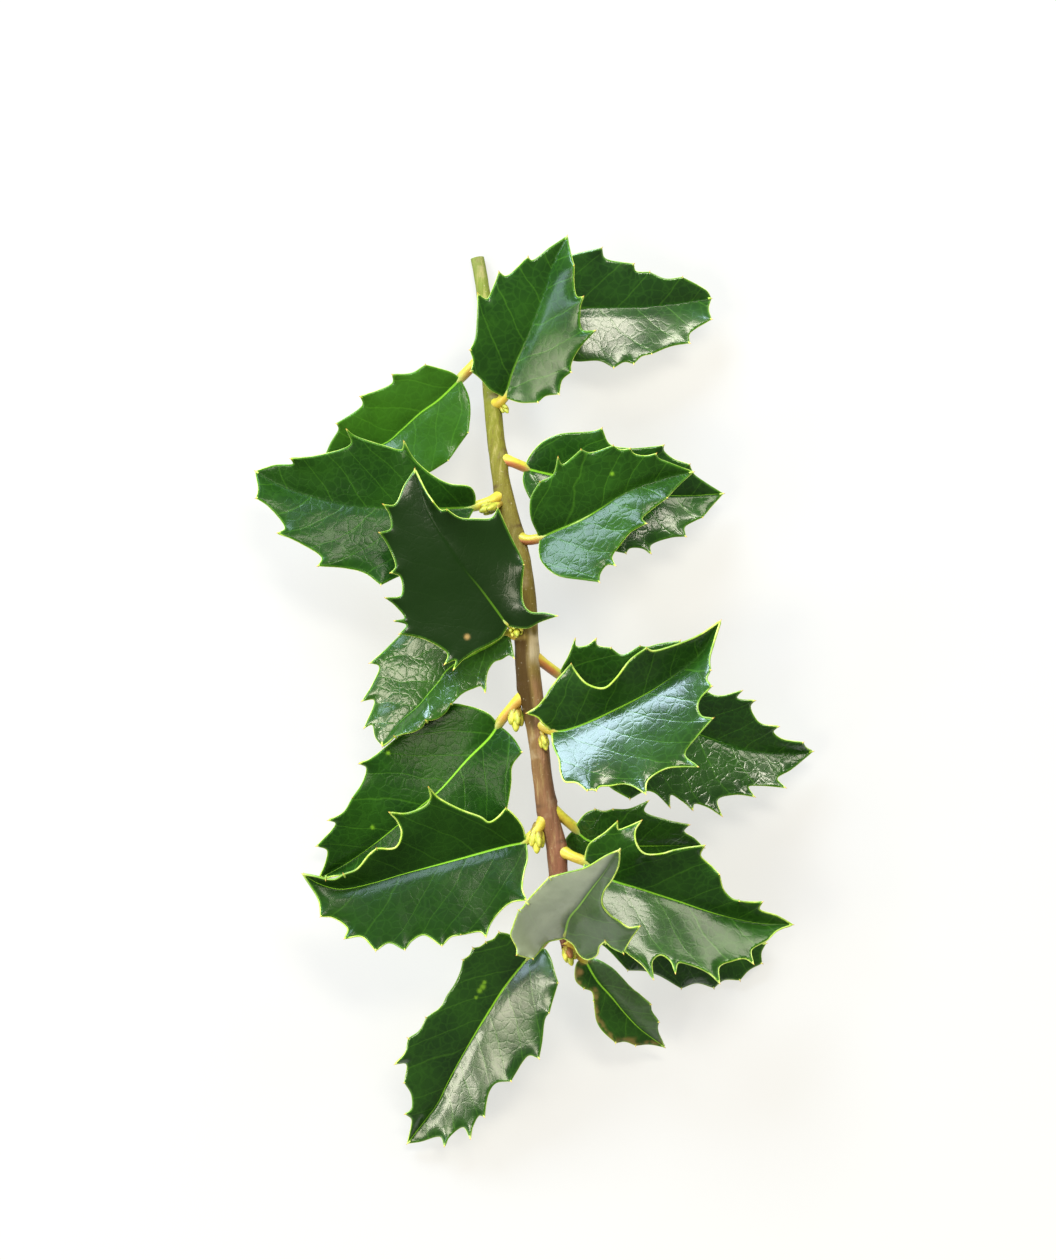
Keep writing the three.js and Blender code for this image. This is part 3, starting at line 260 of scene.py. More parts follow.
# Each light: its name, its place, its width and height, its power and its colour. All look at the origin.
LIGHTS = [
    ("window", (-800, 1500, 1060), (1100, 700), 56.0, (0.64, 0.80, 1.0)),
    ("far_window", (1000, 1400, 1000), (700, 700), 14.0, (1.0, 0.95, 0.78)),
    ("side_window", (-1070, -420, 1640), (550, 560), 14.0, (1.0, 0.94, 0.74)),
    ("left_window", (-1600, 280, 1200), (450, 450), 6.0, (0.64, 0.80, 1.0)),
    ("low_window", (-1620, -520, 1040), (460, 460), 14.0, (1.0, 0.95, 0.78)),
    ("high_window", (300, 890, 1770), (900, 320), 25.0, (1.0, 0.95, 0.80)),
]

# Small scars on the blades: leaf, place on the table, radius and kind.
SPOTS = [
    ("leaf_05", (-15.2, -1.7), 0.7, "tan"),
    ("leaf_11", (-35.0, -30.8), 0.5, "lime"),
    ("leaf_11", (-39.0, -49.5), 0.5, "lime"),
    ("leaf_13", (-11.3, -89.3), 0.7, "lime"),
    ("leaf_13", (-12.1, -90.3), 0.6, "lime"),
    ("leaf_13", (-10.9, -88.2), 0.5, "lime"),
    ("leaf_13", (-13.0, -92.0), 0.4, "lime"),
    ("leaf_08", (21.0, 39.0), 0.5, "lime"),
    ("leaf_18", (13.0, -85.6), 0.8, "tan"),
]

# How single leaves differ. tone: from -1, darkest, to 1, lightest. tint: of the stalk, from yellow to red.
# rib: how far the midrib's line reaches. net: how deep the fine net is. painted_glare: grey painted
# reflection.
# worn: how brown the margin is on the right of the midrib. gloss: how strong the shine is.
# rim: how thick the pale margin is. relief: how uneven the blade is.
PLAIN_LOOK = {"tone": 0.0, "tint": 0.2, "rib": 0.8, "net": 0.5, "painted_glare": 0.0, "worn": 0.0, "gloss": 0.8,
              "rim": 0.45, "relief": 0.6}
LOOKS = {
    "leaf_01": {"tone": 0.08, "rib": 0.1, "net": 0.12, "gloss": 0.5, "relief": 0.25},
    "leaf_02": {"rib": 0.1, "net": 0.25, "gloss": 1.0, "relief": 0.25},
    "leaf_03": {"tone": 0.33, "tint": 0.4, "rib": 0.7, "net": 0.3, "gloss": 0.25},
    "leaf_04": {"tone": -0.3, "rib": 0.1, "net": 0.5, "gloss": 0.1},
    "leaf_05": {"tone": -0.9, "rib": 0.08, "net": 0.25, "gloss": 0.32, "relief": 0.12},
    "leaf_06": {"tone": 0.2, "rib": 0.6, "gloss": 1.0, "net": 0.7, "relief": 0.7},
    "leaf_07": {"tint": 0.6},
    "leaf_08": {"tone": 0.15, "tint": 0.7, "rib": 0.3, "net": 0.6, "gloss": 0.36, "relief": 1.0},
    "leaf_09": {"tint": 0.9, "rib": 0.4, "net": 1.0, "gloss": 1.0},
    "leaf_10": {"rib": 0.4, "net": 0.4, "gloss": 1.0, "rim": 0.9, "relief": 0.3},
    "leaf_11": {"tone": -0.2, "tint": 0.35, "rib": 1.0, "net": 0.6, "gloss": 0.05, "relief": 0.4},
    "leaf_12": {"tone": -0.5, "rib": 0.8, "net": 0.3, "gloss": 0.1, "rim": 0.9, "relief": 0.5},
    "leaf_13": {"rib": 1.0, "net": 0.2, "gloss": 1.0, "relief": 0.3},
    "leaf_14": {"rib": 0.6, "net": 0.1, "painted_glare": 0.75, "gloss": 1.0, "rim": 0.8, "relief": 0.3},
    "leaf_15": {"tone": 0.1, "rib": 0.7, "net": 0.2, "gloss": 0.65, "rim": 0.8, "relief": 0.35},
    "leaf_16": {"tone": -0.2, "rib": 0.4, "net": 1.0, "relief": 1.0},
    "leaf_17": {"rib": 0.7, "net": 1.0, "gloss": 1.0},
    "leaf_18": {"tone": 0.1, "rib": 1.0, "painted_glare": 0.08, "gloss": 0.3, "worn": 0.5},
}

# The twig's centre line: x, y, z and radius.
TWIG = [
    [-12.75, 93.5, 1.3, 1.65],
    [-11.25, 85, 3.2, 1.7],
    [-10, 72.5, 6.8, 1.9],
    [-9, 57.5, 12, 2.15],
    [-7, 39.25, 17.5, 2.15],
    [-5.75, 33, 19, 2.3],
    [-3.75, 25, 21, 2.35],
    [-2.5, 21.25, 21.8, 2.3],
    [-0.75, 10, 23.8, 2.55],
    [-0.25, -1.5, 25, 2.8],
    [-0.25, -7.25, 25.3, 2.9],
    [0.5, -13.75, 25.4, 3],
    [2.5, -27.25, 25.2, 2.5],
    [3.5, -36, 25, 2.4],
    [4.75, -44.75, 24.6, 2.45],
    [7, -53.75, 24, 2.55],
    [7.5, -59.5, 23.5, 2.4],
    [8.25, -68.75, 22.5, 2],
    [9.25, -76.25, 21.5, 1.7],
    [9.75, -78.75, 21.2, 1.5],
]

# The bud clusters. middle: where the CAD's core is. points: the way the buds look. core and bud: radii.
BUD_CLUSTERS = {
    "buds_leaf_01": {"middle": [-6.2, 55.9, 14.9], "points": [0.5, -0.6, 0.5], "core": 1.1, "count": 4,
                     "bud": 0.65},
    "buds_leaf_04": {"middle": [-9.2, 30.7, 22.2], "points": [-0.8, -0.3, 0.5], "core": 1.5, "count": 4,
                     "bud": 1.05},
    "buds_leaf_05": {"middle": [-3.0, 0.2, 27.4], "points": [0.1, -0.5, 0.8], "core": 2.0, "count": 8,
                     "bud": 0.75},
    "buds_leaf_11": {"middle": [-3, -21.8, 24.9], "points": [0.0, -0.9, 0.35], "core": 1.7, "count": 5,
                     "bud": 1.1},
    "buds_leaf_10": {"middle": [3.8, -27.4, 27.6], "points": [0.25, -0.8, 0.3], "core": 1.2, "count": 4,
                     "bud": 0.85},
    "buds_leaf_12": {"middle": [2.2, -52, 26.2], "points": [0.0, -0.9, 0.25], "core": 1.7, "count": 5,
                     "bud": 1.15},
    "terminal_bud": {"middle": [10.1, -80.7, 21.2], "points": [0.25, -0.9, 0.3], "core": 1.6, "count": 6,
                     "bud": 1.0, "ripe": {1: 1.0, 3: 0.85}},
}


# The leaves. stalk: from inside the twig to the blade. rib: the midrib, from the blade's base to its tip.
# left and right: the edge's stretches on each side, seen from above and looking towards the tip.
# Each stretch ends at a spine, and the last one, which leaves it out, at the tip. A stretch that has no
# other point is a plain scallop. cup: how the section of each side curves: under 1 it is steep at the
# midrib, over 1 at the edge, and 1, straight, where it isn't given.
LEAVES = {
    "leaf_01": {
        "stalk": [[-8.9, 56.6, 12.3], [-6.9, 57.3, 15.2]], "cup": [0.9, 0.8],
        "rib": [[-5.75, 58.25, 16.5], [-3.75, 65, 18.5], [0.5, 75, 21], [4.25, 85, 22.5],
                [6.25, 91.25, 22.5], [9.75, 98.5, 21.5]],
        "left": [
            [[-9.5, 60.25, 19], [-12, 63, 20.5], [-14.25, 64.75, 22]], [[-14.5, 70, 24]],
            [[-13.25, 72.5, 24], [-12.7, 78, 25], [-12.5, 84, 26]],
            [[-10.25, 82.75, 24.5], [-8.75, 85.5, 24.5], [-7.25, 89.5, 25.5]],
            [[-5.5, 88.5, 24.5], [0, 93.25, 25]], [[0.9, 92.4, 24.5], [5.25, 95.5, 23.5]],
        ],
        "right": [
            [[-2, 57, 18.5], [2.5, 57, 20.5]], [[4.25, 58.5, 20.5], [7.75, 59, 22.5]],
            [[8.5, 62.5, 22.5], [10.75, 64.5, 24]],
            [[10.75, 66.25, 24], [12.5, 70, 25.5], [16.75, 74.75, 28.5]],
            [[13.5, 75, 26.5], [13, 80, 27], [13.75, 83.25, 28]],
            [[12.25, 83.25, 26.5], [11.5, 86.25, 26], [11.5, 91, 26.5]], [[10.5, 95, 24]],
        ],
    },
    "leaf_02": {
        "stalk": [[-10.2, 73.75, 6.4], [-6, 76, 8]],
        "rib": [[-2, 78, 9], [13.75, 80.75, 10], [28, 81, 9.5], [38, 82, 8], [46, 83.25, 6.5]],
        "left": [
            [[0.5, 85, 12], [5.5, 91.25, 13], [10.5, 93.75, 13.5], [18.5, 95.75, 14]],
            [[19.25, 93.25, 12.5], [26.5, 91.75, 13]], [[27, 90, 12], [30.5, 89.75, 12]],
            [[38.75, 88.5, 11]], [[45, 85, 7.5]],
        ],
        "right": [
            [[1.75, 73.75, 10.5], [6.75, 69.5, 11.5], [11.75, 67.5, 12.5], [18, 67.5, 13],
                [21.5, 65.75, 14]],
            [[24.25, 67.25, 13], [26.5, 66.75, 13.5]], [[31, 69.25, 13]],
            [[36, 71.25, 11.5], [40.5, 72, 11.5]], [[40.5, 74.25, 10.5], [46, 78, 10]], [],
        ],
    },
    "leaf_03": {
        "stalk": [[-9.9, 71.25, 7.2], [-13.25, 67, 9]],
        "rib": [[-17, 63, 9.5], [-19.5, 60.5, 9.5], [-22.75, 57.5, 9.5], [-27, 54.5, 9], [-32, 50, 8],
                [-35.75, 47, 7.5], [-51.5, 42.5, 4.5]],
        "left": [
            [[-15, 58.75, 10.5], [-14.5, 55, 11.5], [-15, 49.5, 13]], [[-16.5, 47.5, 12], [-20, 42.5, 13]],
            [[-22, 41.25, 12], [-24, 40, 12], [-29.5, 37, 12]], [[-37, 35, 11]], [[-44.5, 37, 8.5]], [],
        ],
        "right": [
            [[-19, 64.5, 10.5], [-22, 65.5, 11.5], [-25.75, 66.5, 13]], [[-29, 64.5, 12], [-34, 64, 13]],
            [[-34, 62, 11.5], [-42, 58.5, 12]], [[-41.5, 56.5, 10.5], [-48, 51.75, 10]],
            [[-47.5, 50.5, 9], [-49.5, 47, 7]],
        ],
    },
    "leaf_04": {
        "stalk": [[-6, 34, 18.8], [-9.5, 32.2, 21.2]], "cup": [0.9, 1.1],
        "rib": [[-13.25, 30.75, 22], [-18.25, 30.5, 22.5], [-35.75, 30.5, 23], [-44.5, 31.25, 22.5],
                [-52, 32.75, 21.5], [-59.5, 35, 20], [-64.5, 37.25, 19], [-68.25, 39.75, 18]],
        "left": [
            [[-15.5, 26.5, 23.5], [-17.5, 21, 24.5], [-24.5, 16.25, 25.5], [-32.75, 13.25, 26.5],
                [-36.75, 11.25, 28]],
            [[-40.75, 14.25, 26.5], [-45.75, 15.5, 26], [-52.5, 16, 28]],
            [[-51.5, 18, 26.5], [-57, 21.75, 25.5], [-62.5, 24.25, 26]],
            [[-60.75, 25.5, 24], [-65, 31, 22.5], [-68, 33, 22.5]], [[-67.5, 35, 21]],
        ],
        "right": [
            [[-13.25, 33.75, 23.5], [-14.5, 35.75, 25], [-19.5, 36.5, 25.5], [-23.25, 38.25, 26],
                [-28.25, 42.5, 27], [-31, 47, 28.5]],
            [[-31.5, 45, 27], [-35.75, 46, 27.5], [-43.25, 48.5, 28], [-45.25, 50, 29]],
            [[-44.25, 46.5, 27], [-52, 43.75, 25.5], [-59.25, 42.75, 25.5]],
            [[-58.75, 41.5, 23.5], [-63.25, 41.25, 21]],
        ],
    },
    "leaf_05": {
        "stalk": [[-0.4, 3.2, 24.7], [-2.8, 1.9, 27.6]],
        "rib": [[-5, 1, 29], [-12, 10.5, 31], [-15.75, 15, 32], [-19.5, 20.5, 33], [-25, 30, 33.5],
                [-28.25, 40, 33]],
        "left": [
            [[-6.75, -1.75, 29.5], [-9.5, -3.5, 30.5], [-13, -5.25, 31.5], [-16, -7.25, 32],
                [-18.5, -9.75, 33]],
            [[-18, -7.5, 32.5], [-20.75, -8.5, 33.5]],
            [[-20, -6, 32.5], [-25.25, -2.5, 33.5], [-28.75, -1.5, 34], [-32, -1, 35]],
            [[-30.25, 1.25, 34], [-33.25, 2.25, 35.5]],
            [[-30.75, 3, 34], [-33.25, 6.25, 34.5], [-35.5, 8, 36]],
            [[-31.75, 8.5, 34.5], [-31.25, 10.5, 34.5], [-32, 13.5, 35], [-34.25, 14.25, 36.5]],
            [[-33, 15.75, 35.5], [-35, 21.25, 35.5], [-37, 24.25, 37]],
            [[-34.25, 25.25, 35.5], [-34.5, 28.75, 35.5], [-36, 31.25, 36.5]],
            [[-33.25, 31.25, 35.5], [-30.75, 36.25, 34]],
        ],
        "right": [
            [[-3, 0.6, 30], [0, 0.5, 31.5], [3, 2, 33.5], [7.25, 3.5, 36.5]],
            [[4.25, 4.25, 35], [0.5, 4.5, 34], [-1, 6.25, 33.5], [-1.5, 10, 33], [-1, 16.25, 34.5]],
            [[-1.9, 18.5, 33.5], [-4.5, 23.75, 34], [-7.5, 30.5, 36]],
            [[-9, 28, 35], [-13.25, 27.75, 35.5], [-17, 28, 36], [-20.25, 30, 37.5]],
            [[-21.75, 29.9, 36], [-23.75, 31.9, 37]], [[-25.75, 35, 35]],
        ],
    },
    "leaf_06": {
        "stalk": [[-0.25, -2.4, 25.1], [-3, -1.4, 25.1]], "cup": [0.9, 1.2],
        "rib": [[-5, -0.25, 25.3], [-8.25, -3, 24.8], [-20, -9.75, 23.5], [-22.25, -12.75, 23],
                [-25, -16, 22.3], [-27.5, -19, 21.8], [-32, -23, 20.5], [-36.5, -29, 18.5]],
        "left": [
            [[-4.25, -3, 26], [-3.5, -7, 27.3]],
            [[-4.75, -6.25, 26.5], [-6.5, -7.25, 26], [-8.5, -8, 26], [-10, -10.25, 26],
                [-10.75, -15.5, 27]],
            [[-11.75, -14, 25.8], [-13.5, -14.5, 25.5], [-16.25, -15.75, 25.5], [-19.25, -18.5, 26]],
            [[-20.75, -20.75, 25], [-23, -22.25, 24.7], [-25.5, -22.6, 25.2]],
            [[-26.5, -24.25, 24.2], [-28.75, -25.5, 23.8], [-31.25, -26, 23.2], [-33.4, -26.6, 22.3]],
            [[-35.2, -28.2, 20.3]],
        ],
        "right": [
            [[-14.5, 0.5, 25], [-24.5, 1.25, 23], [-30, 0.5, 22]],
            [[-33.25, -2.5, 20.5], [-35.75, -5, 20], [-39.5, -8.25, 19.5]],
            [[-37.25, -9, 19.5], [-39, -13.75, 18.5], [-41.5, -17.75, 18]],
            [[-38.5, -17.5, 18], [-41, -24.5, 16.5]], [[-39, -23.75, 17.5], [-38.25, -26.75, 17.5]],
        ],
    },
    "leaf_07": {
        "stalk": [[-7.4, 43, 16.4], [-4.5, 42.25, 17.2]], "cup": [0.8, 1],
        "rib": [[-0.75, 40.5, 16.5], [5.5, 39, 16], [15.5, 37, 14.5], [25.5, 35, 12.5],
                [36.25, 33.75, 10.5], [41.5, 33.75, 9], [49, 34.25, 7]],
        "left": [
            [[0, 42.75, 17], [1.75, 45.25, 18], [4.25, 47.5, 18.5], [8, 49, 18.5], [16.25, 49.75, 17.5],
                [18.5, 50.5, 18]],
            [[20.5, 46.5, 16.5], [25.5, 45.5, 16], [30, 45.75, 15.5], [34, 46.25, 15.5]],
            [[34, 45, 14.5], [36.25, 43, 13.5], [40.5, 41.5, 13]], [[41.5, 39.25, 11.5], [44.5, 37, 9.5]],
        ],
        "right": [
            [[-1.25, 37.5, 16.5], [0.5, 33, 17], [4.25, 28.75, 17], [13, 23.75, 16.5], [19.25, 20.5, 16],
                [24.5, 19.25, 16]],
            [[25.5, 20.5, 15], [28.5, 20.5, 14.5], [30.75, 19.25, 15]],
            [[30.75, 21.25, 13.5], [36, 23.25, 13], [39.5, 23.5, 13]],
            [[39.25, 25.75, 12], [41.5, 27.25, 11.5], [43.75, 28.25, 11.5]], [[46.5, 31.5, 8.5]],
        ],
    },
    "leaf_08": {
        "stalk": [[-3.2, 23.6, 21.3], [0, 22.5, 23.6]], "cup": [0.9, 0.9],
        "rib": [[3, 23, 25], [5.75, 24.25, 25.5], [13.25, 27.5, 26], [18, 30.25, 26.2], [22.5, 33.25, 26],
                [27, 35.5, 25.5], [31.5, 37, 25], [36.25, 38.5, 24.5], [41.25, 39.5, 24]],
        "left": [
            [[2, 25, 26], [0.75, 28, 28], [0.5, 31.5, 29.5], [1, 33.75, 30.5], [3, 37, 31.5]],
            [[4.25, 37.5, 31], [6.25, 38.75, 31], [7.5, 43, 33]],
            [[8.5, 41.25, 31.5], [10.75, 42.75, 31.5], [13.25, 45, 32]],
            [[15.5, 44.25, 30.5], [21.25, 46, 31]], [[23, 45, 30], [25.5, 45.25, 30]],
            [[26.5, 44, 29], [29.25, 43.5, 28.5], [32, 44, 28.5]], [[32.5, 43, 27.5], [35.5, 41.75, 26.5]],
        ],
        "right": [
            [[2.75, 20, 26.5], [3.25, 17.5, 28], [5, 15.25, 29.5], [7.75, 13.5, 31], [14, 12.5, 32.5],
                [17.75, 12, 33.5]],
            [[18, 14, 32.5], [19.75, 16.25, 31.5], [21.75, 16.1, 32.5]],
            [[21, 18.25, 31], [23, 21.25, 30.5], [25.75, 24.5, 30], [29.5, 26.6, 30.5]],
            [[28.5, 27.75, 29.5], [30.75, 30, 28.5], [34.75, 33, 28]], [[36.75, 35.25, 26.5]],
        ],
    },
    "leaf_09": {
        "stalk": [[-0.2, -5.5, 25.2], [2.8, -7.5, 24.2]], "cup": [1, 0.9],
        "rib": [[7.75, -11.25, 21], [15.5, -15, 19.5], [23.5, -18.75, 18], [33, -22.5, 16],
                [43.25, -26.25, 13.5], [53.5, -29.75, 11], [59.75, -30.75, 9.5], [66, -31, 8],
                [71.5, -30.5, 6.5]],
        "left": [
            [[8.75, -9, 22.5], [10, -6.75, 24], [11.75, -2.25, 26.5]],
            [[12, -4, 25.5], [14.5, -4, 25.5], [17, -2.25, 26]], [[17.25, -3.75, 25], [20.75, -4.5, 25]],
            [[23.5, -6.25, 24], [28, -4, 25]], [[29.75, -4.25, 24], [32.75, -3.5, 23.5], [38, -2.75, 23.5]],
            [[40.5, -8.75, 21.5], [43, -13.75, 19.5], [47.25, -16.5, 18.5], [53.5, -15.25, 19]],
            [[52.25, -17, 18], [56.75, -17.75, 17.5]],
            [[55.75, -19, 16.5], [56.75, -21.75, 15.5], [58.5, -23.5, 14.5], [62.75, -24.25, 14.5]],
            [[61.5, -25.5, 13], [63.5, -27.25, 12], [69, -28.25, 10]], [],
        ],
        "right": [
            [[9.25, -16.25, 22], [11.75, -25, 22.5], [16.75, -35, 21.5], [20.5, -39.25, 21],
                [25.5, -42.25, 21]],
            [[29.5, -40.25, 19.5], [31.75, -40.75, 19], [35.5, -44.25, 19]],
            [[35.75, -41.25, 17.5], [38.5, -42.75, 17], [41.25, -45, 17.5]],
            [[41.75, -43.5, 16], [44.75, -44.25, 16], [48.5, -46.5, 16]],
            [[47.5, -42.5, 14.5], [52, -41.25, 13.5], [56.75, -41.75, 14]],
            [[55.25, -39.25, 12.5], [58, -39, 12], [64.5, -39.5, 12]], [[62.5, -37.25, 11], [66, -35, 9.5]],
        ],
    },
    "leaf_10": {
        "stalk": [[1.9, -22.6, 25.3], [4.4, -24.4, 27.9]], "cup": [1.2, 0.9],
        "rib": [[6, -25.25, 29], [8.25, -25.25, 29.5], [12, -24.25, 30], [15.75, -22.75, 30.5],
                [20, -20.75, 31], [29.75, -15.75, 32], [37.25, -10.75, 32.5], [42.75, -6.25, 32.5],
                [48, 2.25, 33]],
        "left": [
            [[5.25, -24.5, 30], [3.75, -23.25, 31.5], [2.5, -21.75, 32.5], [-0.25, -20.75, 34]],
            [[2.25, -19.25, 33.5], [4, -17.25, 34.5], [6.25, -13.75, 35.5], [9.25, -10.25, 36.5],
                [10.75, -8.5, 38]],
            [[11.75, -10.25, 37.5], [14.75, -13.5, 37], [19, -14.5, 37], [21.75, -12.25, 37.5],
                [25.5, -7.5, 38.5], [29.5, -4.5, 40.5]],
            [[31, -5.25, 39], [36.75, -3.75, 38], [42.75, -1.25, 36]],
        ],
        "right": [
            [[6.25, -28.5, 31.5], [7.75, -32.25, 34], [8.25, -35.75, 36], [9.25, -37.75, 37],
                [12, -38, 37.5], [14.75, -40, 39]],
            [[17, -40, 39]],
            [[17.75, -39, 38], [20.5, -38.75, 37.5], [23.5, -38.25, 37.5], [26, -38.75, 38.5],
                [29.25, -40.75, 40.5]],
            [[29.75, -37.5, 39], [34.25, -34.5, 38.5], [38, -34, 39], [42.25, -34, 41]],
            [[39, -31, 39], [42.25, -26.25, 39], [46, -22, 40]],
            [[43.25, -21.5, 38.5], [42.25, -19.5, 38], [42.75, -17.25, 37.5], [45.75, -14, 38]],
            [[44.5, -12.25, 37], [45.5, -10, 36.5]], [[45.25, -7.5, 35.5], [46.5, -2.5, 34.5]],
        ],
    },
    "leaf_11": {
        "stalk": [[0.6, -15, 25.4], [-3.2, -18.4, 24.8]], "cup": [1, 0.7],
        "rib": [[-7.5, -23.75, 22], [-9.5, -26.75, 22], [-15, -32.25, 21], [-22.5, -40.5, 17.5],
                [-29.5, -46.25, 13], [-37, -52.5, 8], [-44.5, -58, 2.6], [-48.25, -60.25, 0.4],
                [-52.5, -62.5, 1.1]],
        "left": [
            [[-5.5, -25.25, 22.5], [-3.5, -27.25, 23.5], [-1.5, -30.5, 25.5]],
            [[-4, -34, 24], [-4.25, -38.25, 23.5], [-5.25, -44.75, 23]],
            [[-10.75, -50, 19.5], [-18.25, -53.75, 17]], [[-29.5, -58.75, 11]], [[-40.75, -63.75, 5.5]], [],
        ],
        "right": [
            [[-9.5, -21.25, 23.5], [-12.5, -19.75, 23.5], [-15.25, -19, 22.8], [-19.25, -18.5, 21.5],
                [-25.75, -21.25, 19.5], [-32.75, -27, 16.5], [-39.5, -32.25, 16], [-42.25, -33.5, 16.5]],
            [[-40.5, -34.5, 14.5], [-41.5, -38.25, 13.5], [-44, -42, 13]], [[-50, -47.75, 10]],
            [[-48.25, -48.5, 9], [-53, -54.25, 7]], [[-50.5, -55.25, 5.5], [-50.75, -58, 4]],
        ],
    },
    "leaf_12": {
        "stalk": [[4.9, -45.5, 24.6], [2, -50.3, 26]], "cup": [0.7, 1.2],
        "rib": [[-0.5, -53, 27], [-6.25, -54.25, 27.5], [-18.25, -57.5, 28], [-31.25, -61, 27.5],
                [-39.75, -63.5, 27], [-47, -64.75, 26.8], [-52, -63.5, 27.2], [-56.25, -61, 28]],
        "left": [
            [[-0.25, -57.25, 28.5], [-1, -60.25, 30], [-1.5, -64.5, 32], [-0.5, -67.25, 33.5]],
            [[-4.5, -68, 32], [-8.25, -71.5, 32], [-9.75, -74, 32.5], [-10.5, -76.5, 33.5]],
            [[-11.75, -75.25, 32.5], [-16.75, -76, 33]], [[-19.25, -76.5, 32], [-21.5, -78.75, 33]],
            [[-26, -76, 31.5], [-29, -77.5, 31.5], [-30.75, -79.75, 32.5]],
            [[-34.75, -78, 31], [-38, -80, 31.5]], [[-41.5, -76.5, 30], [-45.75, -77, 30.5]],
            [[-45, -74.5, 29], [-48.75, -71.75, 28.5], [-51.75, -71.5, 29]], [[-52.25, -67.5, 27.5]],
        ],
        "right": [
            [[-1.5, -49, 29], [-4, -45.75, 31], [-5.5, -44.5, 32]],
            [[-7.5, -46.75, 31.5], [-9.75, -48, 31.5], [-11.75, -46.75, 32], [-17, -44.75, 33],
                [-22.5, -41.75, 34.5], [-24.75, -39.25, 36.5]],
            [[-24.25, -41.75, 35], [-25.5, -43.75, 34], [-30.25, -45.75, 33.5], [-34.5, -45.5, 35]],
            [[-32.5, -47.75, 33.5], [-31.5, -50.75, 33], [-33, -54.25, 32.5], [-37.75, -54.5, 33]],
            [[-39.75, -56.25, 32], [-42.75, -59.75, 31], [-46, -61, 30.5]], [[-50.5, -62.25, 29.5]],
            [[-53.2, -61.5, 29.2]],
        ],
    },
    "leaf_13": {
        "stalk": [[8.4, -72, 22.2], [4.2, -77.5, 21]], "cup": [0.9, 0.9],
        "rib": [[0, -82, 20], [-5.75, -89.25, 18], [-10.25, -96.25, 16], [-15.5, -105, 12.5],
                [-20.25, -113.75, 9], [-22.5, -118.5, 7], [-30.25, -129, 3.2]],
        "left": [
            [[4, -79.75, 21.8], [5.5, -81.75, 22.8], [6.5, -85, 23.5], [7.5, -88.25, 24]],
            [[6.5, -91.5, 22.5], [5.25, -95.75, 22]],
            [[4.25, -97.25, 20.5], [3.5, -103, 19], [2.75, -107.25, 18.5]],
            [[0.25, -106.5, 17.5], [-3.25, -111.25, 15.5], [-4.25, -113, 16]],
            [[-8, -113.5, 14.5], [-9.75, -115.75, 13.5], [-11, -122, 12]],
            [[-12.25, -121.75, 11], [-14, -125, 10], [-14.5, -127.5, 10]],
            [[-16.25, -124.75, 8.5], [-19.75, -127.25, 7.5], [-21, -129.5, 7.5]],
            [[-22, -127.25, 6], [-27, -128.5, 4.2]],
        ],
        "right": [
            [[-2, -79, 22], [-4.5, -76.25, 23.5], [-7.25, -75.5, 24.5]], [[-10.5, -78, 24.5]],
            [[-13.75, -79.5, 24]], [[-16.25, -82.5, 23.5]],
            [[-16.75, -85, 22], [-18.25, -88.5, 21], [-20.25, -91.5, 20], [-21.75, -94.25, 19.5],
                [-25.5, -97, 19.5]],
            [[-30, -102.25, 17.5]], [[-33.25, -108.75, 15.5]], [[-30.5, -108.75, 14], [-31, -113.5, 12.5]],
            [[-29.25, -116.5, 10.5], [-29.25, -120.25, 9], [-30.75, -121.5, 9]],
            [[-29.25, -122.75, 7.5], [-29.6, -126, 5.2]],
        ],
    },
    "leaf_14": {
        "stalk": [[9, -73.5, 21.9], [9, -75.8, 24.5]],
        "rib": [[9, -77, 27], [10.25, -72, 33], [12.75, -68.75, 38], [15.75, -64.5, 45],
                [18.75, -60.5, 51.5], [21, -57, 57], [22.75, -54.5, 60]],
        "left": [
            [[4.75, -78, 28], [3, -80, 30], [1.25, -82, 32]], [[-0.5, -81.6, 32], [-2.75, -81, 34]],
            [[-2.75, -79.5, 34], [-4.25, -76, 36.5], [-3.75, -74, 38], [-2.25, -69.75, 41.5]],
            [[-0.5, -67.75, 43]], [[2.25, -64.75, 45.5], [5.25, -61.5, 48.5]],
            [[9.75, -60.25, 50.5], [14.25, -59, 53], [19.75, -55.75, 58]],
        ],
        "right": [
            [[11.25, -78.5, 27.5], [12.75, -81, 28], [14.75, -82.25, 29], [17.25, -81, 31],
                [17.75, -79, 33], [19.25, -77.5, 36]],
            [[20.75, -79, 37], [23.75, -80.5, 39]], [[25.5, -77, 41], [27.75, -73.75, 44]],
            [[25, -74, 43.5], [22.75, -72.5, 44], [20.25, -70.75, 45], [18.5, -68.25, 46.5],
                [18.75, -65.25, 49], [21, -61.75, 52.5], [22.5, -58.25, 56.5]],
        ],
    },
    "leaf_15": {
        "stalk": [[7.2, -54.5, 23.9], [11, -56.5, 26.5]], "cup": [1.1, 0.9],
        "rib": [[14.25, -58, 28], [20.5, -62.25, 29], [27.5, -64.5, 29], [37.5, -67.75, 27.5],
                [47.25, -71, 25.5], [57.25, -73.25, 22.5], [66.25, -73.75, 19]],
        "left": [
            [[14.5, -55.5, 30], [15.5, -53.25, 32], [19.25, -50.5, 34.5], [22.25, -47.75, 37.5]],
            [[22.5, -49.75, 36], [25, -49, 36.5], [28.25, -47.5, 39]],
            [[26.75, -50, 37.5], [27, -53.25, 37], [29, -55.75, 36.5], [33.5, -55.75, 36], [36, -55, 35.5],
                [40, -54.25, 35.5], [44, -53.75, 36]],
            [[43, -56.25, 33.5], [45.5, -58.75, 32], [47.75, -61, 32]],
            [[48.75, -64.75, 29.5], [50.75, -67, 28.5], [52.75, -67.75, 28.5]],
            [[55.25, -68, 27], [58.5, -68, 26.5]], [[57.75, -69.75, 25], [62.25, -71.5, 22]],
        ],
        "right": [
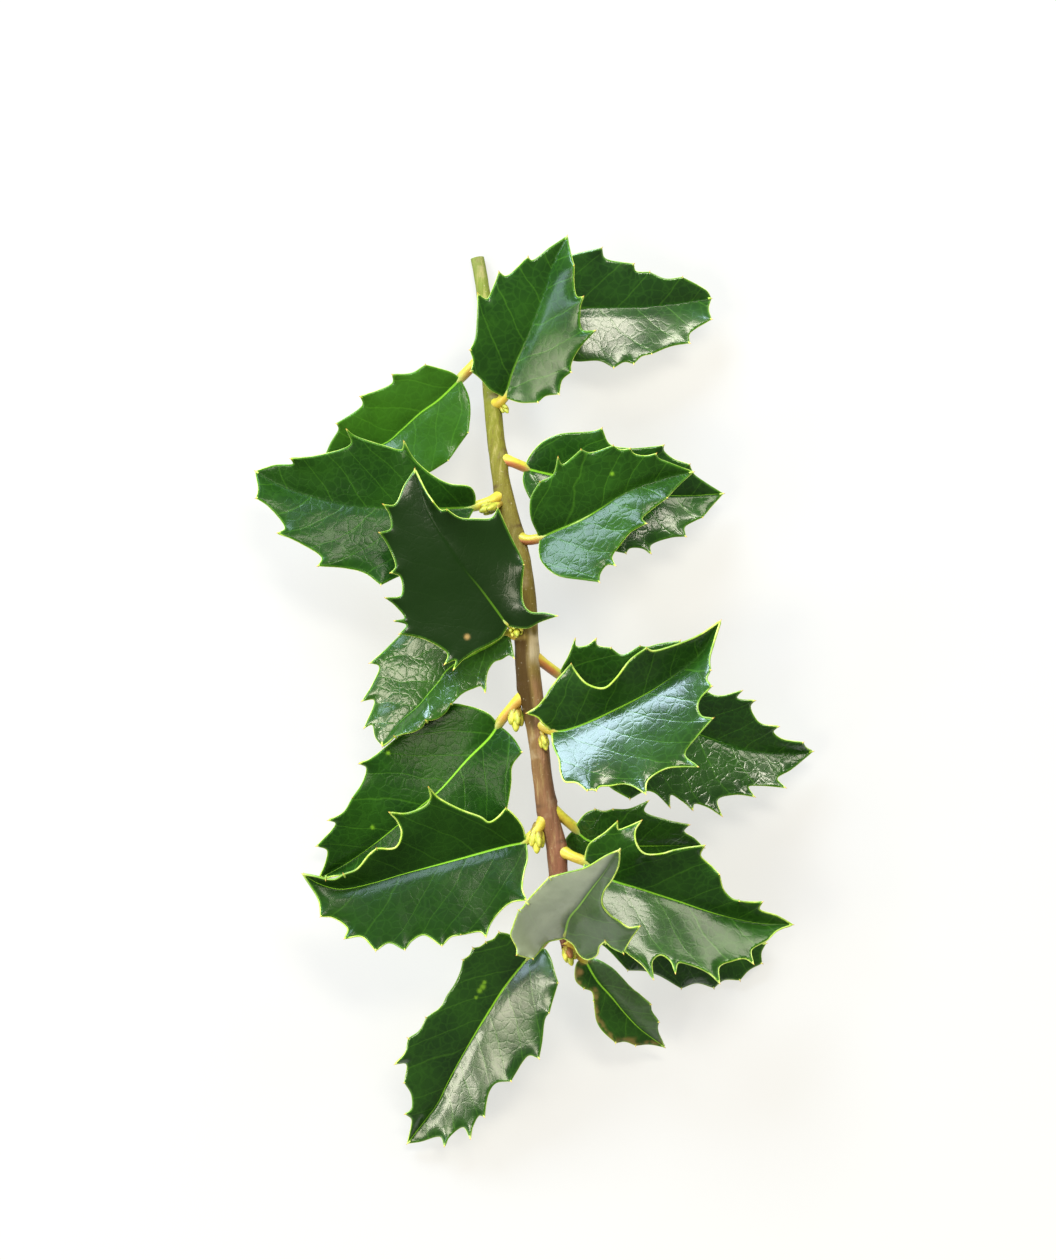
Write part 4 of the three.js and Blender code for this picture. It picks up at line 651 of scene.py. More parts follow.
            [[13.75, -61.25, 29], [15.5, -67.5, 31], [19.25, -75, 32], [24.75, -80.5, 33.5],
                [28.5, -83.5, 34], [31.25, -87, 35.5]],
            [[31, -82.5, 34], [33, -81, 33.5], [35.5, -82.5, 33.5], [36.75, -85.5, 35]],
            [[37.5, -83, 33.5], [40.5, -83.5, 33], [45, -85.5, 33], [47.75, -88, 33]],
            [[47.75, -84, 31], [51.25, -82.5, 30], [54.25, -82, 29], [56.25, -83.25, 29]],
            [[55.75, -80, 27.5], [59.75, -77.5, 25], [62.25, -75.25, 22.5]],
        ],
    },
    "leaf_16": {
        "stalk": [[8.1, -65.75, 22.8], [11.5, -70.5, 20.6]],
        "rib": [[13.5, -73.75, 19.5], [23, -74, 16.5], [33, -74, 12.5], [43, -74.5, 9], [51.75, -76.25, 6],
                [59.75, -78.75, 4.5]],
        "left": [
            [[18, -68.75, 18.5], [23, -66.25, 17], [30.5, -64.5, 15.5]], [[40.5, -64.5, 12.5]],
            [[49.25, -67.5, 9.5]], [[55.5, -72.5, 7.5]], [],
        ],
        "right": [
            [[15, -76.5, 19.5], [19.25, -79.25, 18], [25, -85.25, 15]],
            [[29.25, -85.5, 11], [32.5, -86.5, 8.5], [38.5, -90, 4.5]],
            [[42.5, -88.75, 1.6], [46.75, -90, 0.4]], [[49.25, -88, 1.6], [53.25, -88, 2.5]],
            [[55.5, -85.5, 3], [58.75, -83.75, 3.5]], [],
        ],
    },
    "leaf_17": {
        "stalk": [[4.7, -43.8, 24.6], [8.1, -46.4, 23.9]],
        "rib": [[11.75, -50, 22.5], [14.75, -52.5, 22.5], [20.5, -53.75, 22.5], [28, -54, 22],
                [38, -54, 21], [44, -54.5, 20]],
        "left": [
            [[12, -49, 23], [14.25, -46, 25.5], [16.75, -44.75, 27]], [[21.25, -44.75, 27]],
            [[25, -44.75, 26], [30, -42.75, 27.5]],
            [[29, -45.25, 26], [34.75, -47.5, 25], [40.25, -48.75, 25]],
            [[39, -50.25, 23.5], [41.75, -52.25, 21.5]],
        ],
        "right": [
            [[10.25, -51.25, 21.5], [9.25, -53.25, 20.3], [11.25, -55.75, 20], [15.5, -58.75, 20],
                [23, -60.5, 20]],
            [[33, -60, 19.5]], [[40.5, -57.5, 19]], [],
        ],
    },
    "leaf_18": {
        "stalk": [[9.6, -77.5, 21.3], [12, -80.5, 20.4]],
        "rib": [[14.25, -82.5, 19.5], [17.25, -87.75, 18], [21, -92, 16], [24, -95.75, 13.5],
                [28, -100, 10.5], [34.25, -104.75, 6]],
        "left": [
            [[16.5, -82.25, 20.5], [18.5, -83, 21], [21.25, -84.75, 21], [23.25, -86.75, 20.5],
                [25.75, -89.5, 19.5], [28, -91.25, 18.5], [30.75, -93.75, 18]],
            [[31, -95.5, 16], [32.75, -98.25, 14.5]], [[32.5, -100, 12]],
        ],
        "right": [
            [[12.5, -83, 19.5], [11.75, -85.5, 20], [12, -87.75, 20], [14, -89.75, 19.5]],
            [[16, -90.5, 18.5], [16.5, -93, 18]],
            [[16.75, -95.25, 16.5], [17.25, -98, 15], [18.5, -100.25, 14], [22, -103.5, 12.5]],
            [[24.5, -103.25, 10.5], [27, -104.25, 9.5]], [[30.5, -104, 7.5]],
        ],
    },
}

CURVE_STEPS = 24             # points on each piece of a smooth curve
ROW_SHARE = math.sqrt(3) / 2    # from one row of the triangle grid to the next, in steps
HASH = (127.1, 311.7, 74.7, 43758.5453)    # what the noise mixes its places and seeds with
TINY = 1e-9
WELD = 1e-5                  # points of a skin that are closer than this become one
STRETCH_END = 1e-8           # where the stretched skin's heights are good enough


def lengths_along(points):
    """How far along a line each of its points is."""
    return np.concatenate([[0], np.cumsum(np.linalg.norm(np.diff(points, axis=0), axis=1))])


def spaced(points, step):
    """The same line with even steps of about the given length."""
    along = lengths_along(points)
    wanted = np.linspace(0, along[-1], max(2, math.ceil(along[-1] / step)) + 1)
    return np.column_stack([np.interp(wanted, along, values) for values in points.T])


def smooth_curve(points, step):
    """A centripetal Catmull-Rom curve through the points, with even steps."""
    points = np.array(points, float)
    way = np.vstack([2 * points[0] - points[1], points, 2 * points[-1] - points[-2]])
    t = np.linspace(0, 1, CURVE_STEPS, endpoint=False)[:, None]
    pieces = []
    for a, b, c, d in zip(way, way[1:], way[2:], way[3:]):
        ab, bc, cd = (math.sqrt(np.linalg.norm(q - p)) for p, q in ((a, b), (b, c), (c, d)))
        leave = ((b - a) / ab - (c - a) / (ab + bc) + (c - b) / bc) * bc
        enter = ((c - b) / bc - (d - b) / (bc + cd) + (d - c) / cd) * bc
        bend = t ** 3 * (2 * (b - c) + leave + enter) + t ** 2 * (3 * (c - b) - 2 * leave - enter)
        pieces.append(b + t * leave + bend)
    pieces.append(points[-1:])
    return spaced(np.vstack(pieces), step)


def unit(vectors):
    """The same directions with length 1."""
    return vectors / np.maximum(np.linalg.norm(vectors, axis=-1, keepdims=True), TINY)


def smooth_step(values):
    """From 0 to 1 with soft ends, while the values run from 0 to 1."""
    values = np.clip(values, 0, 1)
    return values * values * (3 - 2 * values)


def fade(values, start, length):
    """From 0 to 1, while the values run over a length from the start: upwards, or down if it is negative."""
    return smooth_step((values - start) / length)


def noise(x, y, seed):
    """Smooth random values from -1 to 1 over a plane, about one bump to each unit."""
    def corner(i, j):
        value = np.sin(i * HASH[0] + j * HASH[1] + seed * HASH[2]) * HASH[3]
        return 2 * (value - np.floor(value)) - 1
    i, j = np.floor(x), np.floor(y)
    u, v = smooth_step(x - i), smooth_step(y - j)
    near = corner(i, j) * (1 - u) + corner(i + 1, j) * u
    far = corner(i, j + 1) * (1 - u) + corner(i + 1, j + 1) * u
    return near * (1 - v) + far * v


class Shape:
    """A mesh in the making: points, faces with a material each, and named values at each point."""

    def __init__(self, value_names):
        self.names = value_names
        self.points = []
        self.faces = []
        self.materials = []
        self.values = {name: [] for name in value_names}
        self.places = []
        self.count = 0

    def add(self, points, faces, material, places=None, **values):
        """Adds a piece. places: where each point is on the surface, laid flat."""
        size = len(points)
        self.points.append(points)
        self.faces.extend([tuple(number + self.count for number in face) for face in faces])
        self.materials.extend([material] * len(faces))
        for name in self.names:
            self.values[name].append(np.broadcast_to(np.asarray(values.get(name, 0.0), float), size))
        self.places.append(np.zeros((size, 2)) if places is None else places)
        self.count += size

    def build(self, name, materials):
        """The mesh object, in metres in the frame."""
        mesh = bpy.data.meshes.new(name)
        points = np.vstack(self.points) - TABLE_ORIGIN
        points[:, 2] = np.maximum(points[:, 2], FLOOR_CLEARANCE)
        mesh.from_pydata(points * MM, [], self.faces)
        mesh.polygons.foreach_set("material_index", self.materials)
        mesh.polygons.foreach_set("use_smooth", [True] * len(self.faces))
        for value_name in self.names:
            values = np.concatenate(self.values[value_name]).astype(np.float32)
            mesh.attributes.new(value_name, "FLOAT", "POINT").data.foreach_set("value", values)
        places = np.vstack(self.places)
        corners = np.empty(len(mesh.loops), np.int32)
        mesh.loops.foreach_get("vertex_index", corners)
        mesh.uv_layers.new(name="flat").data.foreach_set("uv", places[corners].astype(np.float32).ravel())
        for material in materials:
            mesh.materials.append(material)
        mesh.validate()
        made = bpy.data.objects.new(name, mesh)
        bpy.context.scene.collection.objects.link(made)
        return made


def cross_frames(points):
    """Two unit vectors square to a line at each of its points, which turn as little as they can."""
    ways = unit(np.gradient(points, axis=0))
    start = [0.0, 0.0, 1.0] if abs(ways[0][2]) < 0.9 else [1.0, 0.0, 0.0]
    side = unit(np.cross(ways[0], start))
    sides = []
    for way in ways:
        side = unit(side - way * (side @ way))
        sides.append(side)
    sides = np.array(sides)
    return sides, np.cross(ways, sides)


def tube(points, radii, count):
    """A tube with closed ends along a line: its points and faces. radii: by point, or by corner too."""
    sides, ups = cross_frames(points)
    angles = np.arange(count) * 2 * math.pi / count
    out = sides[:, None] * np.cos(angles)[:, None] + ups[:, None] * np.sin(angles)[:, None]
    radii = np.array(radii).reshape(len(points), -1, 1)
    body = points[:, None] + out * radii
    every = np.vstack([body.reshape(-1, 3), points[:1], points[-1:]])
    faces = []
    for i in range(len(points) - 1):
        for j in range(count):
            a, b = i * count + j, i * count + (j + 1) % count
            faces.append((a, b, b + count, a + count))
    first, last = len(every) - 2, len(every) - 1
    end = (len(points) - 1) * count
    for j in range(count):
        after = (j + 1) % count
        faces.append((first, after, j))
        faces.append((last, end + j, end + after))
    return every, faces


def edge_lines(base, stretches, tip, inward):
    """One side's edge, a line for each stretch. inward: 1 on the left side, -1 on the right."""
    lines = []
    start = base
    for stretch in [*stretches[:-1], [*stretches[-1], tip]]:
        way = [start] + [np.array(point, float) for point in stretch]
        if len(stretch) == 1:
            along = way[1] - start
            middle = (start + way[1]) / 2 + inward * SCALLOP_DEPTH * np.array([along[1], -along[0], 0])
            way.insert(1, middle)
        lines.append(smooth_curve(way, EDGE_STEP))
        start = way[-1]
    return lines


def joined(lines):
    """One line from several that follow each other."""
    return np.vstack([lines[0][:1]] + [line[1:] for line in lines])


def nearest(points, line):
    """For each point the number of the line's nearest point, and how far off it is."""
    squares = (points ** 2).sum(axis=1)[:, None] + (line ** 2).sum(axis=1)[None] - 2 * points @ line.T
    numbers = squares.argmin(axis=1)
    return numbers, np.linalg.norm(points - line[numbers], axis=1)


def inside(points, outline):
    """Which of the points lie inside a closed outline, seen from above."""
    x, y = points.T
    found = np.zeros(len(points), bool)
    for (x0, y0), (x1, y1) in zip(outline, np.roll(outline, -1, axis=0)):
        if y0 != y1:
            found ^= ((y0 > y) != (y1 > y)) & (x < (x1 - x0) * (y - y0) / (y1 - y0) + x0)
    return found


def grid_inside(outline, lines):
    """Points of an even triangle grid inside the outline, clear of the given lines."""
    low, high = outline.min(axis=0), outline.max(axis=0)
    rows = np.arange(low[1], high[1], SKIN_STEP * ROW_SHARE)
    columns = np.arange(low[0], high[0], SKIN_STEP)
    x, y = np.meshgrid(columns, rows)
    x = x + (np.arange(len(rows)) % 2)[:, None] * SKIN_STEP / 2
    points = np.column_stack([x.ravel(), y.ravel()])
    points = points[inside(points, outline)]
    return points[nearest(points, lines)[1] > GRID_CLEARANCE * SKIN_STEP]


def stretched(heights, held, edges):
    """The heights of a skin over its held points: each other point lies at its neighbours' mean."""
    count = len(heights)
    a, b = edges.T
    degree = np.bincount(a, minlength=count) + np.bincount(b, minlength=count)

    def pull(z):
        return (degree * z - np.bincount(a, z[b], count) - np.bincount(b, z[a], count)) * ~held

    heights = np.where(held, heights, heights[held].mean())
    rest = -pull(heights)
    way = rest
    size = rest @ rest
    while size > STRETCH_END:
        pulled = pull(way)
        share = size / (way @ pulled)
        heights = heights + share * way
        rest = rest - share * pulled
        before, size = size, rest @ rest
        way = rest + way * (size / before)
    return heights


def point_normals(points, triangles):
    """The surface's direction at each point, by the size of the triangles that meet there."""
    corners = points[triangles]
    squares = np.cross(corners[:, 1] - corners[:, 0], corners[:, 2] - corners[:, 0])
    sums = []
    for values in squares.T:
        sums.append(sum(np.bincount(triangles[:, k], values, len(points)) for k in range(3)))
    return unit(np.column_stack(sums))


def triangle_edges(triangles):
    """Each triangle's three edges, as pairs of point numbers."""
    return np.vstack([triangles[:, [0, 1]], triangles[:, [1, 2]], triangles[:, [2, 0]]])


def skin(leaf):
    """The leaf's upper skin before its relief: points, triangles, and the lines that it hangs between."""
    rib = smooth_curve(leaf["rib"], SKIN_STEP)
    lines = {
        "left": edge_lines(rib[0], leaf["left"], leaf["rib"][-1], 1),
        "right": edge_lines(rib[0], leaf["right"], leaf["rib"][-1], -1),
    }
    left, right = joined(lines["left"]), joined(lines["right"])
    outline = np.vstack([right, left[-2:0:-1]])
    held = np.vstack([outline, rib[1:-1]])
    grid = grid_inside(outline[:, :2], held[:, :2])
    flat = np.vstack([held[:, :2], grid])
    numbers = [0, *range(len(outline), len(held)), len(right) - 1]
    border = [*range(len(outline)), 0]
    edges = list(zip(border, border[1:])) + list(zip(numbers, numbers[1:]))
    result = delaunay_2d_cdt([Vector(point) for point in flat], edges, [], 0, WELD, True)
    places = np.array([tuple(point) for point in result[0]])
    triangles = np.array(result[2])
    triangles = triangles[inside(places[triangles].mean(axis=1), outline[:, :2])]
    sources = np.array([origins[0] if origins else -1 for origins in result[3]])
    strays = sources < 0
    if strays.any():
        sources[strays] = nearest(places[strays], held[:, :2])[0]
    is_held = sources < len(held)
    heights = np.where(is_held, held[np.minimum(sources, len(held) - 1), 2], 0.0)
    edges = np.unique(np.sort(triangle_edges(triangles), axis=1), axis=0)
    heights = stretched(heights, is_held, edges)
    return np.column_stack([places, heights]), triangles, lines, joined([left, right[::-1]])


def spots(name, points, kind):
    """How much of each point a scar of this kind covers."""
    share = np.zeros(len(points))
    for leaf, place, radius, spot_kind in SPOTS:
        if leaf == name and spot_kind == kind:
            off = np.linalg.norm(points[:, :2] - place, axis=1) / radius
            share = np.maximum(share, np.exp(-off ** 4))
    return share


def leaf_surface(leaf, seed, unevenness):
    """The leaf's upper skin with cup, veins and blisters, and its values at each point."""
    points, triangles, lines, outline = skin(leaf)
    rib = smooth_curve(leaf["rib"], SKIN_STEP / 4)
    length = lengths_along(rib)[-1]
    rim = spaced(outline, EDGE_STEP)
    numbers, off_rib = nearest(points, rib)
    ways = np.gradient(rib, axis=0)[numbers]
    away = points - rib[numbers]
    side = np.sign(ways[:, 0] * away[:, 1] - ways[:, 1] * away[:, 0])
    off_edge = nearest(points, rim)[1]
    across = np.clip(off_rib / np.maximum(off_rib + off_edge, TINY), CUP_START, 1)
    cup = np.where(side >= 0, *leaf.get("cup", (1, 1)))
    points[:, 2] = rib[numbers, 2] + (points[:, 2] - rib[numbers, 2]) * across ** (cup - 1)

    numbers, off_rib = nearest(points, rib)
    off_edge = nearest(points, rim)[1]
    along = lengths_along(rib)[numbers]
    start = along - VEIN_LEAN * off_rib - VEIN_CURVE * off_rib ** 2
    drift = VEIN_DRIFT * noise(start / VEIN_DRIFT_LENGTH, side * 2.5, seed)
    drift += VEIN_WAVER * noise(off_rib / 3, start / 5, seed)
    phase = (start + drift) / VEIN_SPACING + VEIN_STAGGER * side + seed
    off_vein = np.abs(phase - np.round(phase)) * VEIN_SPACING / math.hypot(1, VEIN_LEAN)
    calm = smooth_step(off_edge / CALM_EDGE) * smooth_step((length - along) / CALM_TIP)
    relief = -VEIN_DEPTH * np.exp(-(off_vein / VEIN_WIDTH) ** 2)
    relief += BLISTER * np.sin(math.pi * phase) ** 2 * smooth_step(off_rib / BLISTER_START)
    relief += UNEVENNESS * noise(along / UNEVEN_LENGTH, side * off_rib / UNEVEN_LENGTH + 40, seed)
    relief += PUCKER * noise(along / PUCKER_LENGTH, side * off_rib / PUCKER_LENGTH + 40, seed + 5)
    relief *= calm * unevenness
    roll = 1 - (1 - np.clip(off_edge / ROLL_WIDTH, 0, 1)) ** 2
    roll *= (0.5 + 0.5 * unevenness) * (0.6 + 0.4 * noise(along / ROLL_LENGTH, side * 3.5, seed + 9))
    relief += ROLL_HEIGHT * roll * smooth_step(off_rib / ROLL_START)
    groove = np.exp(-(off_rib / RIB_GROOVE_WIDTH) ** 2) * smooth_step(along / RIB_GROOVE_START)
    relief -= RIB_GROOVE * unevenness * groove
    normals = point_normals(points, triangles)
    points = points + normals * relief[:, None]
    values = {
        "off_rib": off_rib,
        "side": side,
        "off_edge": off_edge,
        "vein": phase,
        "along": along / length,
    }
    return points, triangles, lines, values, np.column_stack([along, side * off_rib]) * CM_PER_MM


def rim_wall(triangles, count):
    """Faces between the skin's rim and its copy below."""
    edges = triangle_edges(triangles)
    keys = np.sort(edges, axis=1)
    _, first, uses = np.unique(keys, axis=0, return_index=True, return_counts=True)
    return [(b, a, a + count, b + count) for a, b in edges[first[uses == 1]].tolist()]


# A spine's rings from the margin to its point: how far along and how far up each is, in lengths of the
# spine, its radius, and how sharp, and so how brown, the spine is there.
SPINE_RINGS = np.array([
    (-0.8, -0.12, 0.9 * RIM_RADIUS, 0.0),
    (-0.35, -0.1, RIM_RADIUS, 0.1),
    (0.05, 0.0, 0.6 * RIM_RADIUS, 0.6),
    (0.4, 0.15, SPINE_TIP_RADIUS, 1.0),
])


def spine(shape, tip, before, after):
    """A slim, slightly raised spine that ends just past the edge's corner."""
    along, up, radii, sharp = SPINE_RINGS.T
    way = unit(unit(unit(before) - unit(after)) + [0, 0, SPINE_RISE])
    points = tip + along[:, None] * SPINE_LENGTH * way
    points[:, 2] += up * SPINE_LENGTH
    body, faces = tube(points, radii, RIM_SIDES)
    shape.add(body, faces, RIM, sharp=np.concatenate([np.repeat(sharp, RIM_SIDES), sharp[[0, -1]]]))


def leaf_rims(shape, lines, drop, width):
    """The thick pale margin along each stretch, and a spine at each corner."""
    for side in lines.values():
        for line in side:
            along = lengths_along(line)
            off_spine = np.minimum(along, along[-1] - along)
            share = RIM_THINNEST + (1 - RIM_THINNEST) * smooth_step(off_spine / RIM_TAPER)
            body, faces = tube(line - [0, 0, drop], RIM_RADIUS * width * share, RIM_SIDES)
            shape.add(body, faces, RIM, sharp=0.0)
        for line, following in zip(side, side[1:]):
            spine(shape, line[-1], line[-1] - line[-3], following[2] - following[0])
    left, right = lines["left"][-1], lines["right"][-1]
    spine(shape, left[-1], left[-1] - left[-4], right[-4] - right[-1])


def leaf_stalk(shape, leaf, tint, skin_points, skin_normals):
    """The stalk, which runs on as the midrib's keel under the blade."""
    rib = smooth_curve(leaf["rib"], KEEL_STEP)
    normals = skin_normals[nearest(rib, skin_points)[0]]
    share = np.linspace(0, 1, len(rib))
    radii = KEEL_RADIUS + (KEEL_TIP_RADIUS - KEEL_RADIUS) * share ** KEEL_TAPER
    keel = rib - normals * (radii + KEEL_DEPTH)[:, None]
    start = np.array(leaf["stalk"], float)
    path = smooth_curve(np.vstack([start, keel[1:-1:3], keel[-1:]]), STALK_STEP)
    along = lengths_along(path)
    bare = lengths_along(np.vstack([start, keel[1]]))[-1]
    radii = np.interp(along, [0, bare * STALK_FULL[0], bare * STALK_FULL[1], bare + KEEL_BLEND, along[-1]],
                      [STALK_FOOT_RADIUS, STALK_RADIUS, STALK_RADIUS, KEEL_RADIUS, KEEL_TIP_RADIUS])
    body, faces = tube(path, radii, STALK_SIDES)
    outer = np.repeat(np.clip(1 - along / (bare + 2), 0, 1), STALK_SIDES)
    shape.add(body, faces, STALK, along=np.concatenate([outer, [1, 0]]), tint=tint)


UPPER, UNDER, RIM, STALK = range(4)
LEAF_VALUES = ("off_rib", "off_edge", "vein", "along", "sharp", "tone", "tint", "rib", "net", "painted_glare",
               "gloss", "tan", "lime")


def build_leaf(name, leaf, materials):
    """One leaf: its blade, with an upper and an under skin, its margin and spines, and its stalk."""
    seed = int(name[-2:])
    look = {**PLAIN_LOOK, **LOOKS.get(name, {})}
    points, triangles, lines, values, places = leaf_surface(leaf, seed, look.pop("relief"))
    half = smooth_step(values.pop("side") * values["off_rib"] / 2)
    # painted glare: a grey painted reflection, weaker on the blade's right half
    values["painted_glare"] = look.pop("painted_glare") * (PAINTED_GLARE_LEAST + (1 - PAINTED_GLARE_LEAST) * half)
    x, y, _ = points.T
    ragged = WORN_WIDTH * (1 + 0.6 * noise(x / WORN_WAVE, y / WORN_WAVE, seed))
    patchy = smooth_step(0.7 + noise(x / WORN_PATCH, y / WORN_PATCH, seed))
    worn = look.pop("worn") * patchy * (1 - half) * smooth_step(1.5 - values["off_edge"] / ragged)
    values["tan"] = np.maximum(spots(name, points, "tan"), worn)
    values["lime"] = spots(name, points, "lime")
    normals = point_normals(points, triangles)
    below = points - normals * BLADE_THICKNESS
    rim = look.pop("rim")
    shape = Shape(LEAF_VALUES)
    faces = [tuple(face) for face in triangles.tolist()]
    shape.add(points, faces, UPPER, places, **look, **values)
    shape.add(below, [face[::-1] for face in faces], UNDER, places, **look, **values)
    wall = rim_wall(triangles, len(points))
    shape.faces.extend(wall)
    shape.materials.extend([RIM] * len(wall))
    leaf_rims(shape, lines, BLADE_THICKNESS / 2, rim)
    leaf_stalk(shape, leaf, look["tint"], points, normals)
    made = shape.build(name + "_leaf", materials)
    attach(made, "root")
    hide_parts(name)


# ---------------------------------------------------------------- materials

class Tree:
    """A material's nodes, made by short calls."""

    def __init__(self, name):
        self.material = bpy.data.materials.new(name)
        self.material.use_nodes = True
        self.tree = self.material.node_tree
        self.shader = self.tree.nodes["Principled BSDF"]

    def node(self, kind, inputs=None, output=0, **settings):
        """Adds a node and gives its output. inputs: a socket's name or number to a value or an output."""
        made = self.tree.nodes.new(kind)
        for key, value in settings.items():
            setattr(made, key, value)
        for key, value in (inputs or {}).items():
            self.put(made.inputs[key], value)
        return made.outputs[output]

    def put(self, socket, value):
        if isinstance(value, bpy.types.NodeSocket):
            self.tree.links.new(value, socket)
        elif socket.type == "RGBA" and len(value) == 3:
            socket.default_value = (*value, 1)
        else:
            socket.default_value = value

    def shade(self, **inputs):
        for name, value in inputs.items():
            self.put(self.shader.inputs[name.replace("_", " ")], value)

    def value(self, name):
        return self.node("ShaderNodeAttribute", output="Fac", attribute_name=name)

    def math(self, operation, *values):
        return self.node("ShaderNodeMath", dict(enumerate(values)), operation=operation)

    def ramp(self, value, low, high, start=0.0, end=1.0):
        """Runs smoothly from start to end while the value runs from low to high."""
        inputs = {"Value": value, "From Min": low, "From Max": high, "To Min": start, "To Max": end}
        return self.node("ShaderNodeMapRange", inputs, interpolation_type="SMOOTHSTEP")

    def mix(self, share, first, second):
        """The first colour where the share is 0, and the second where it is 1."""
        made = self.tree.nodes.new("ShaderNodeMix")
        made.data_type = "RGBA"
        colours = [socket for socket in made.inputs if socket.type == "RGBA"]
        self.put(made.inputs[0], share)
        self.put(colours[0], first)
        self.put(colours[1], second)
        return [socket for socket in made.outputs if socket.type == "RGBA"][0]

    def noise(self, place, scale, detail=2.0, roughness=0.5):
        """Soft blotches between 0 and 1. scale: how many to a unit of the place."""
        inputs = {"Vector": place, "Scale": scale, "Detail": detail, "Roughness": roughness}
        return self.node("ShaderNodeTexNoise", inputs, output="Fac")

    def mottle(self, place, name):
        scale, detail, roughness, *ramp = MOTTLES[name]
        return self.ramp(self.noise(place, scale, detail, roughness), *ramp)

    def share(self, value, part):
        """A part of a value."""
        return self.math("MULTIPLY", value, part)

    def cracks(self, place, scale):
        """The distance to the lines of an uneven net, in its meshes."""
        shift = self.node("ShaderNodeTexNoise", {"Vector": place, "Scale": scale * 0.8}, output="Color")
        shift = self.node("ShaderNodeVectorMath", {0: shift, 1: (0.5, 0.5, 0.5)}, operation="SUBTRACT")
        reach = {0: shift, "Scale": NET_WOBBLE / scale}
        shift = self.node("ShaderNodeVectorMath", reach, operation="SCALE")
        place = self.node("ShaderNodeVectorMath", {0: place, 1: shift}, operation="ADD")
        return self.node("ShaderNodeTexVoronoi", {"Vector": place, "Scale": scale}, output="Distance",
                         feature="DISTANCE_TO_EDGE")

    def bump(self, height, depth, normal=None):
        """A bent normal, for a height between 0 and 1 and a depth in millimetres."""
        inputs = {"Height": height, "Distance": depth * MM, "Strength": 1.0}
        if normal is not None:
            inputs["Normal"] = normal
        return self.node("ShaderNodeBump", inputs)

    def grain(self, place, grain, normal=None):
        scale, detail, depth = grain
        return self.bump(self.noise(place, scale, detail), depth, normal)


def flat_place(tree):
    """The place on a blade laid flat, in centimetres."""
    return tree.node("ShaderNodeUVMap", uv_map="flat")


def solid_place(tree):
    """The place in the frame, in metres."""
    return tree.node("ShaderNodeTexCoord", output="Object")


def vein_lines(tree, place, width):
    """1 on the side veins, 0 a width away."""
    bend = tree.math("MULTIPLY_ADD", tree.noise(place, 1.6, 2.0), VEIN_BEND, -VEIN_BEND / 2)
    vein = tree.math("ADD", tree.value("vein"), bend)
    off = tree.math("ABSOLUTE", tree.math("SUBTRACT", vein, tree.math("ROUND", vein)))
    off = tree.share(off, VEIN_SPACING / math.hypot(1, VEIN_LEAN))
    return tree.ramp(off, 0.0, width, 1.0, 0.0)


def upper_material():
    tree = Tree("holly_leaf")
    place = flat_place(tree)
    tone = tree.value("tone")
    along = tree.value("along")
    rib_reach = tree.value("rib")
    off_rib = tree.value("off_rib")
    net = tree.cracks(place, NET_SCALE)
    fine = tree.cracks(place, FINE_NET_SCALE)
    grooves = tree.ramp(net, 0.0, GROOVE_WIDTH, 1.0, 0.0)
    veins = vein_lines(tree, place, VEIN_LINE)

    green = tree.mix(tree.mottle(place, "leaf"), LEAF_DEEP, LEAF_MID)
    green = tree.mix(tree.share(grooves, NET_SHADE), green, LEAF_NET)
    green = tree.mix(tree.share(veins, VEIN_SHADE), green, LEAF_VEIN)
    green = tree.mix(tree.ramp(tone, 0.0, 1.0), green, LEAF_LIGHT)
    green = tree.mix(tree.ramp(tone, 0.0, -1.0), green, LEAF_DARK)
    green = tree.mix(tree.ramp(tree.value("off_edge"), *MARGIN_LINE), green, LEAF_VEIN)
    width = tree.ramp(along, 0.0, 0.8, RIB_WIDTH, RIB_TIP_WIDTH)
    rib = tree.ramp(tree.math("DIVIDE", off_rib, width), *RIB_LINE)
    rib = tree.share(rib, tree.ramp(tree.math("SUBTRACT", along, rib_reach), *RIB_FADE))
    rib = tree.share(rib, tree.math("POWER", rib_reach, 0.5))
    green = tree.mix(rib, green, RIB_COLOUR)
    # painted glare: a mottled grey painted reflection over the leaf's colour
    painted_glare = tree.share(tree.value("painted_glare"), tree.mottle(place, "leaf_painted_glare"))
    green = tree.mix(painted_glare, green, LEAF_PAINTED_GLARE)
    green = tree.mix(tree.value("lime"), green, SPOT_LIME)
    green = tree.mix(tree.value("tan"), green, SPOT_TAN)

    fine_domes = tree.share(tree.ramp(fine, 0.0, 0.3), FINE_NET_SHARE)
    domes = tree.math("ADD", tree.ramp(net, 0.0, 0.5), fine_domes)
    relief = tree.math("SUBTRACT", tree.math("SUBTRACT", domes, grooves), veins)
    normal = tree.bump(tree.share(relief, tree.value("net")), NET_DEPTH)
    roughness = tree.mottle(place, "leaf_roughness")
    shine = tree.share(tree.ramp(off_rib, *RIB_DULLNESS), tree.value("gloss"))
    tree.shade(Base_Color=green, Roughness=roughness, Normal=normal, Specular_IOR_Level=0.08)
    tree.shade(Coat_Weight=shine, Coat_Roughness=0.2, Coat_Normal=normal)
    return tree.material


def under_material():
    tree = Tree("holly_leaf_under")
    place = flat_place(tree)
    net = tree.cracks(place, UNDER_NET_SCALE)
    veins = vein_lines(tree, place, UNDER_VEIN_LINE)
    green = tree.mix(tree.mottle(place, "under"), UNDER_DEEP, UNDER_LIGHT)
    green = tree.mix(tree.ramp(net, *UNDER_NET_LINE), green, UNDER_VEIN)
    green = tree.mix(tree.share(veins, UNDER_VEIN_SHADE), green, UNDER_VEIN)
    normal = tree.bump(tree.ramp(net, 0.0, GROOVE_WIDTH, 1.0, 0.0), UNDER_NET_DEPTH)
    tree.shade(Base_Color=green, Roughness=0.5, Normal=normal)
    return tree.material


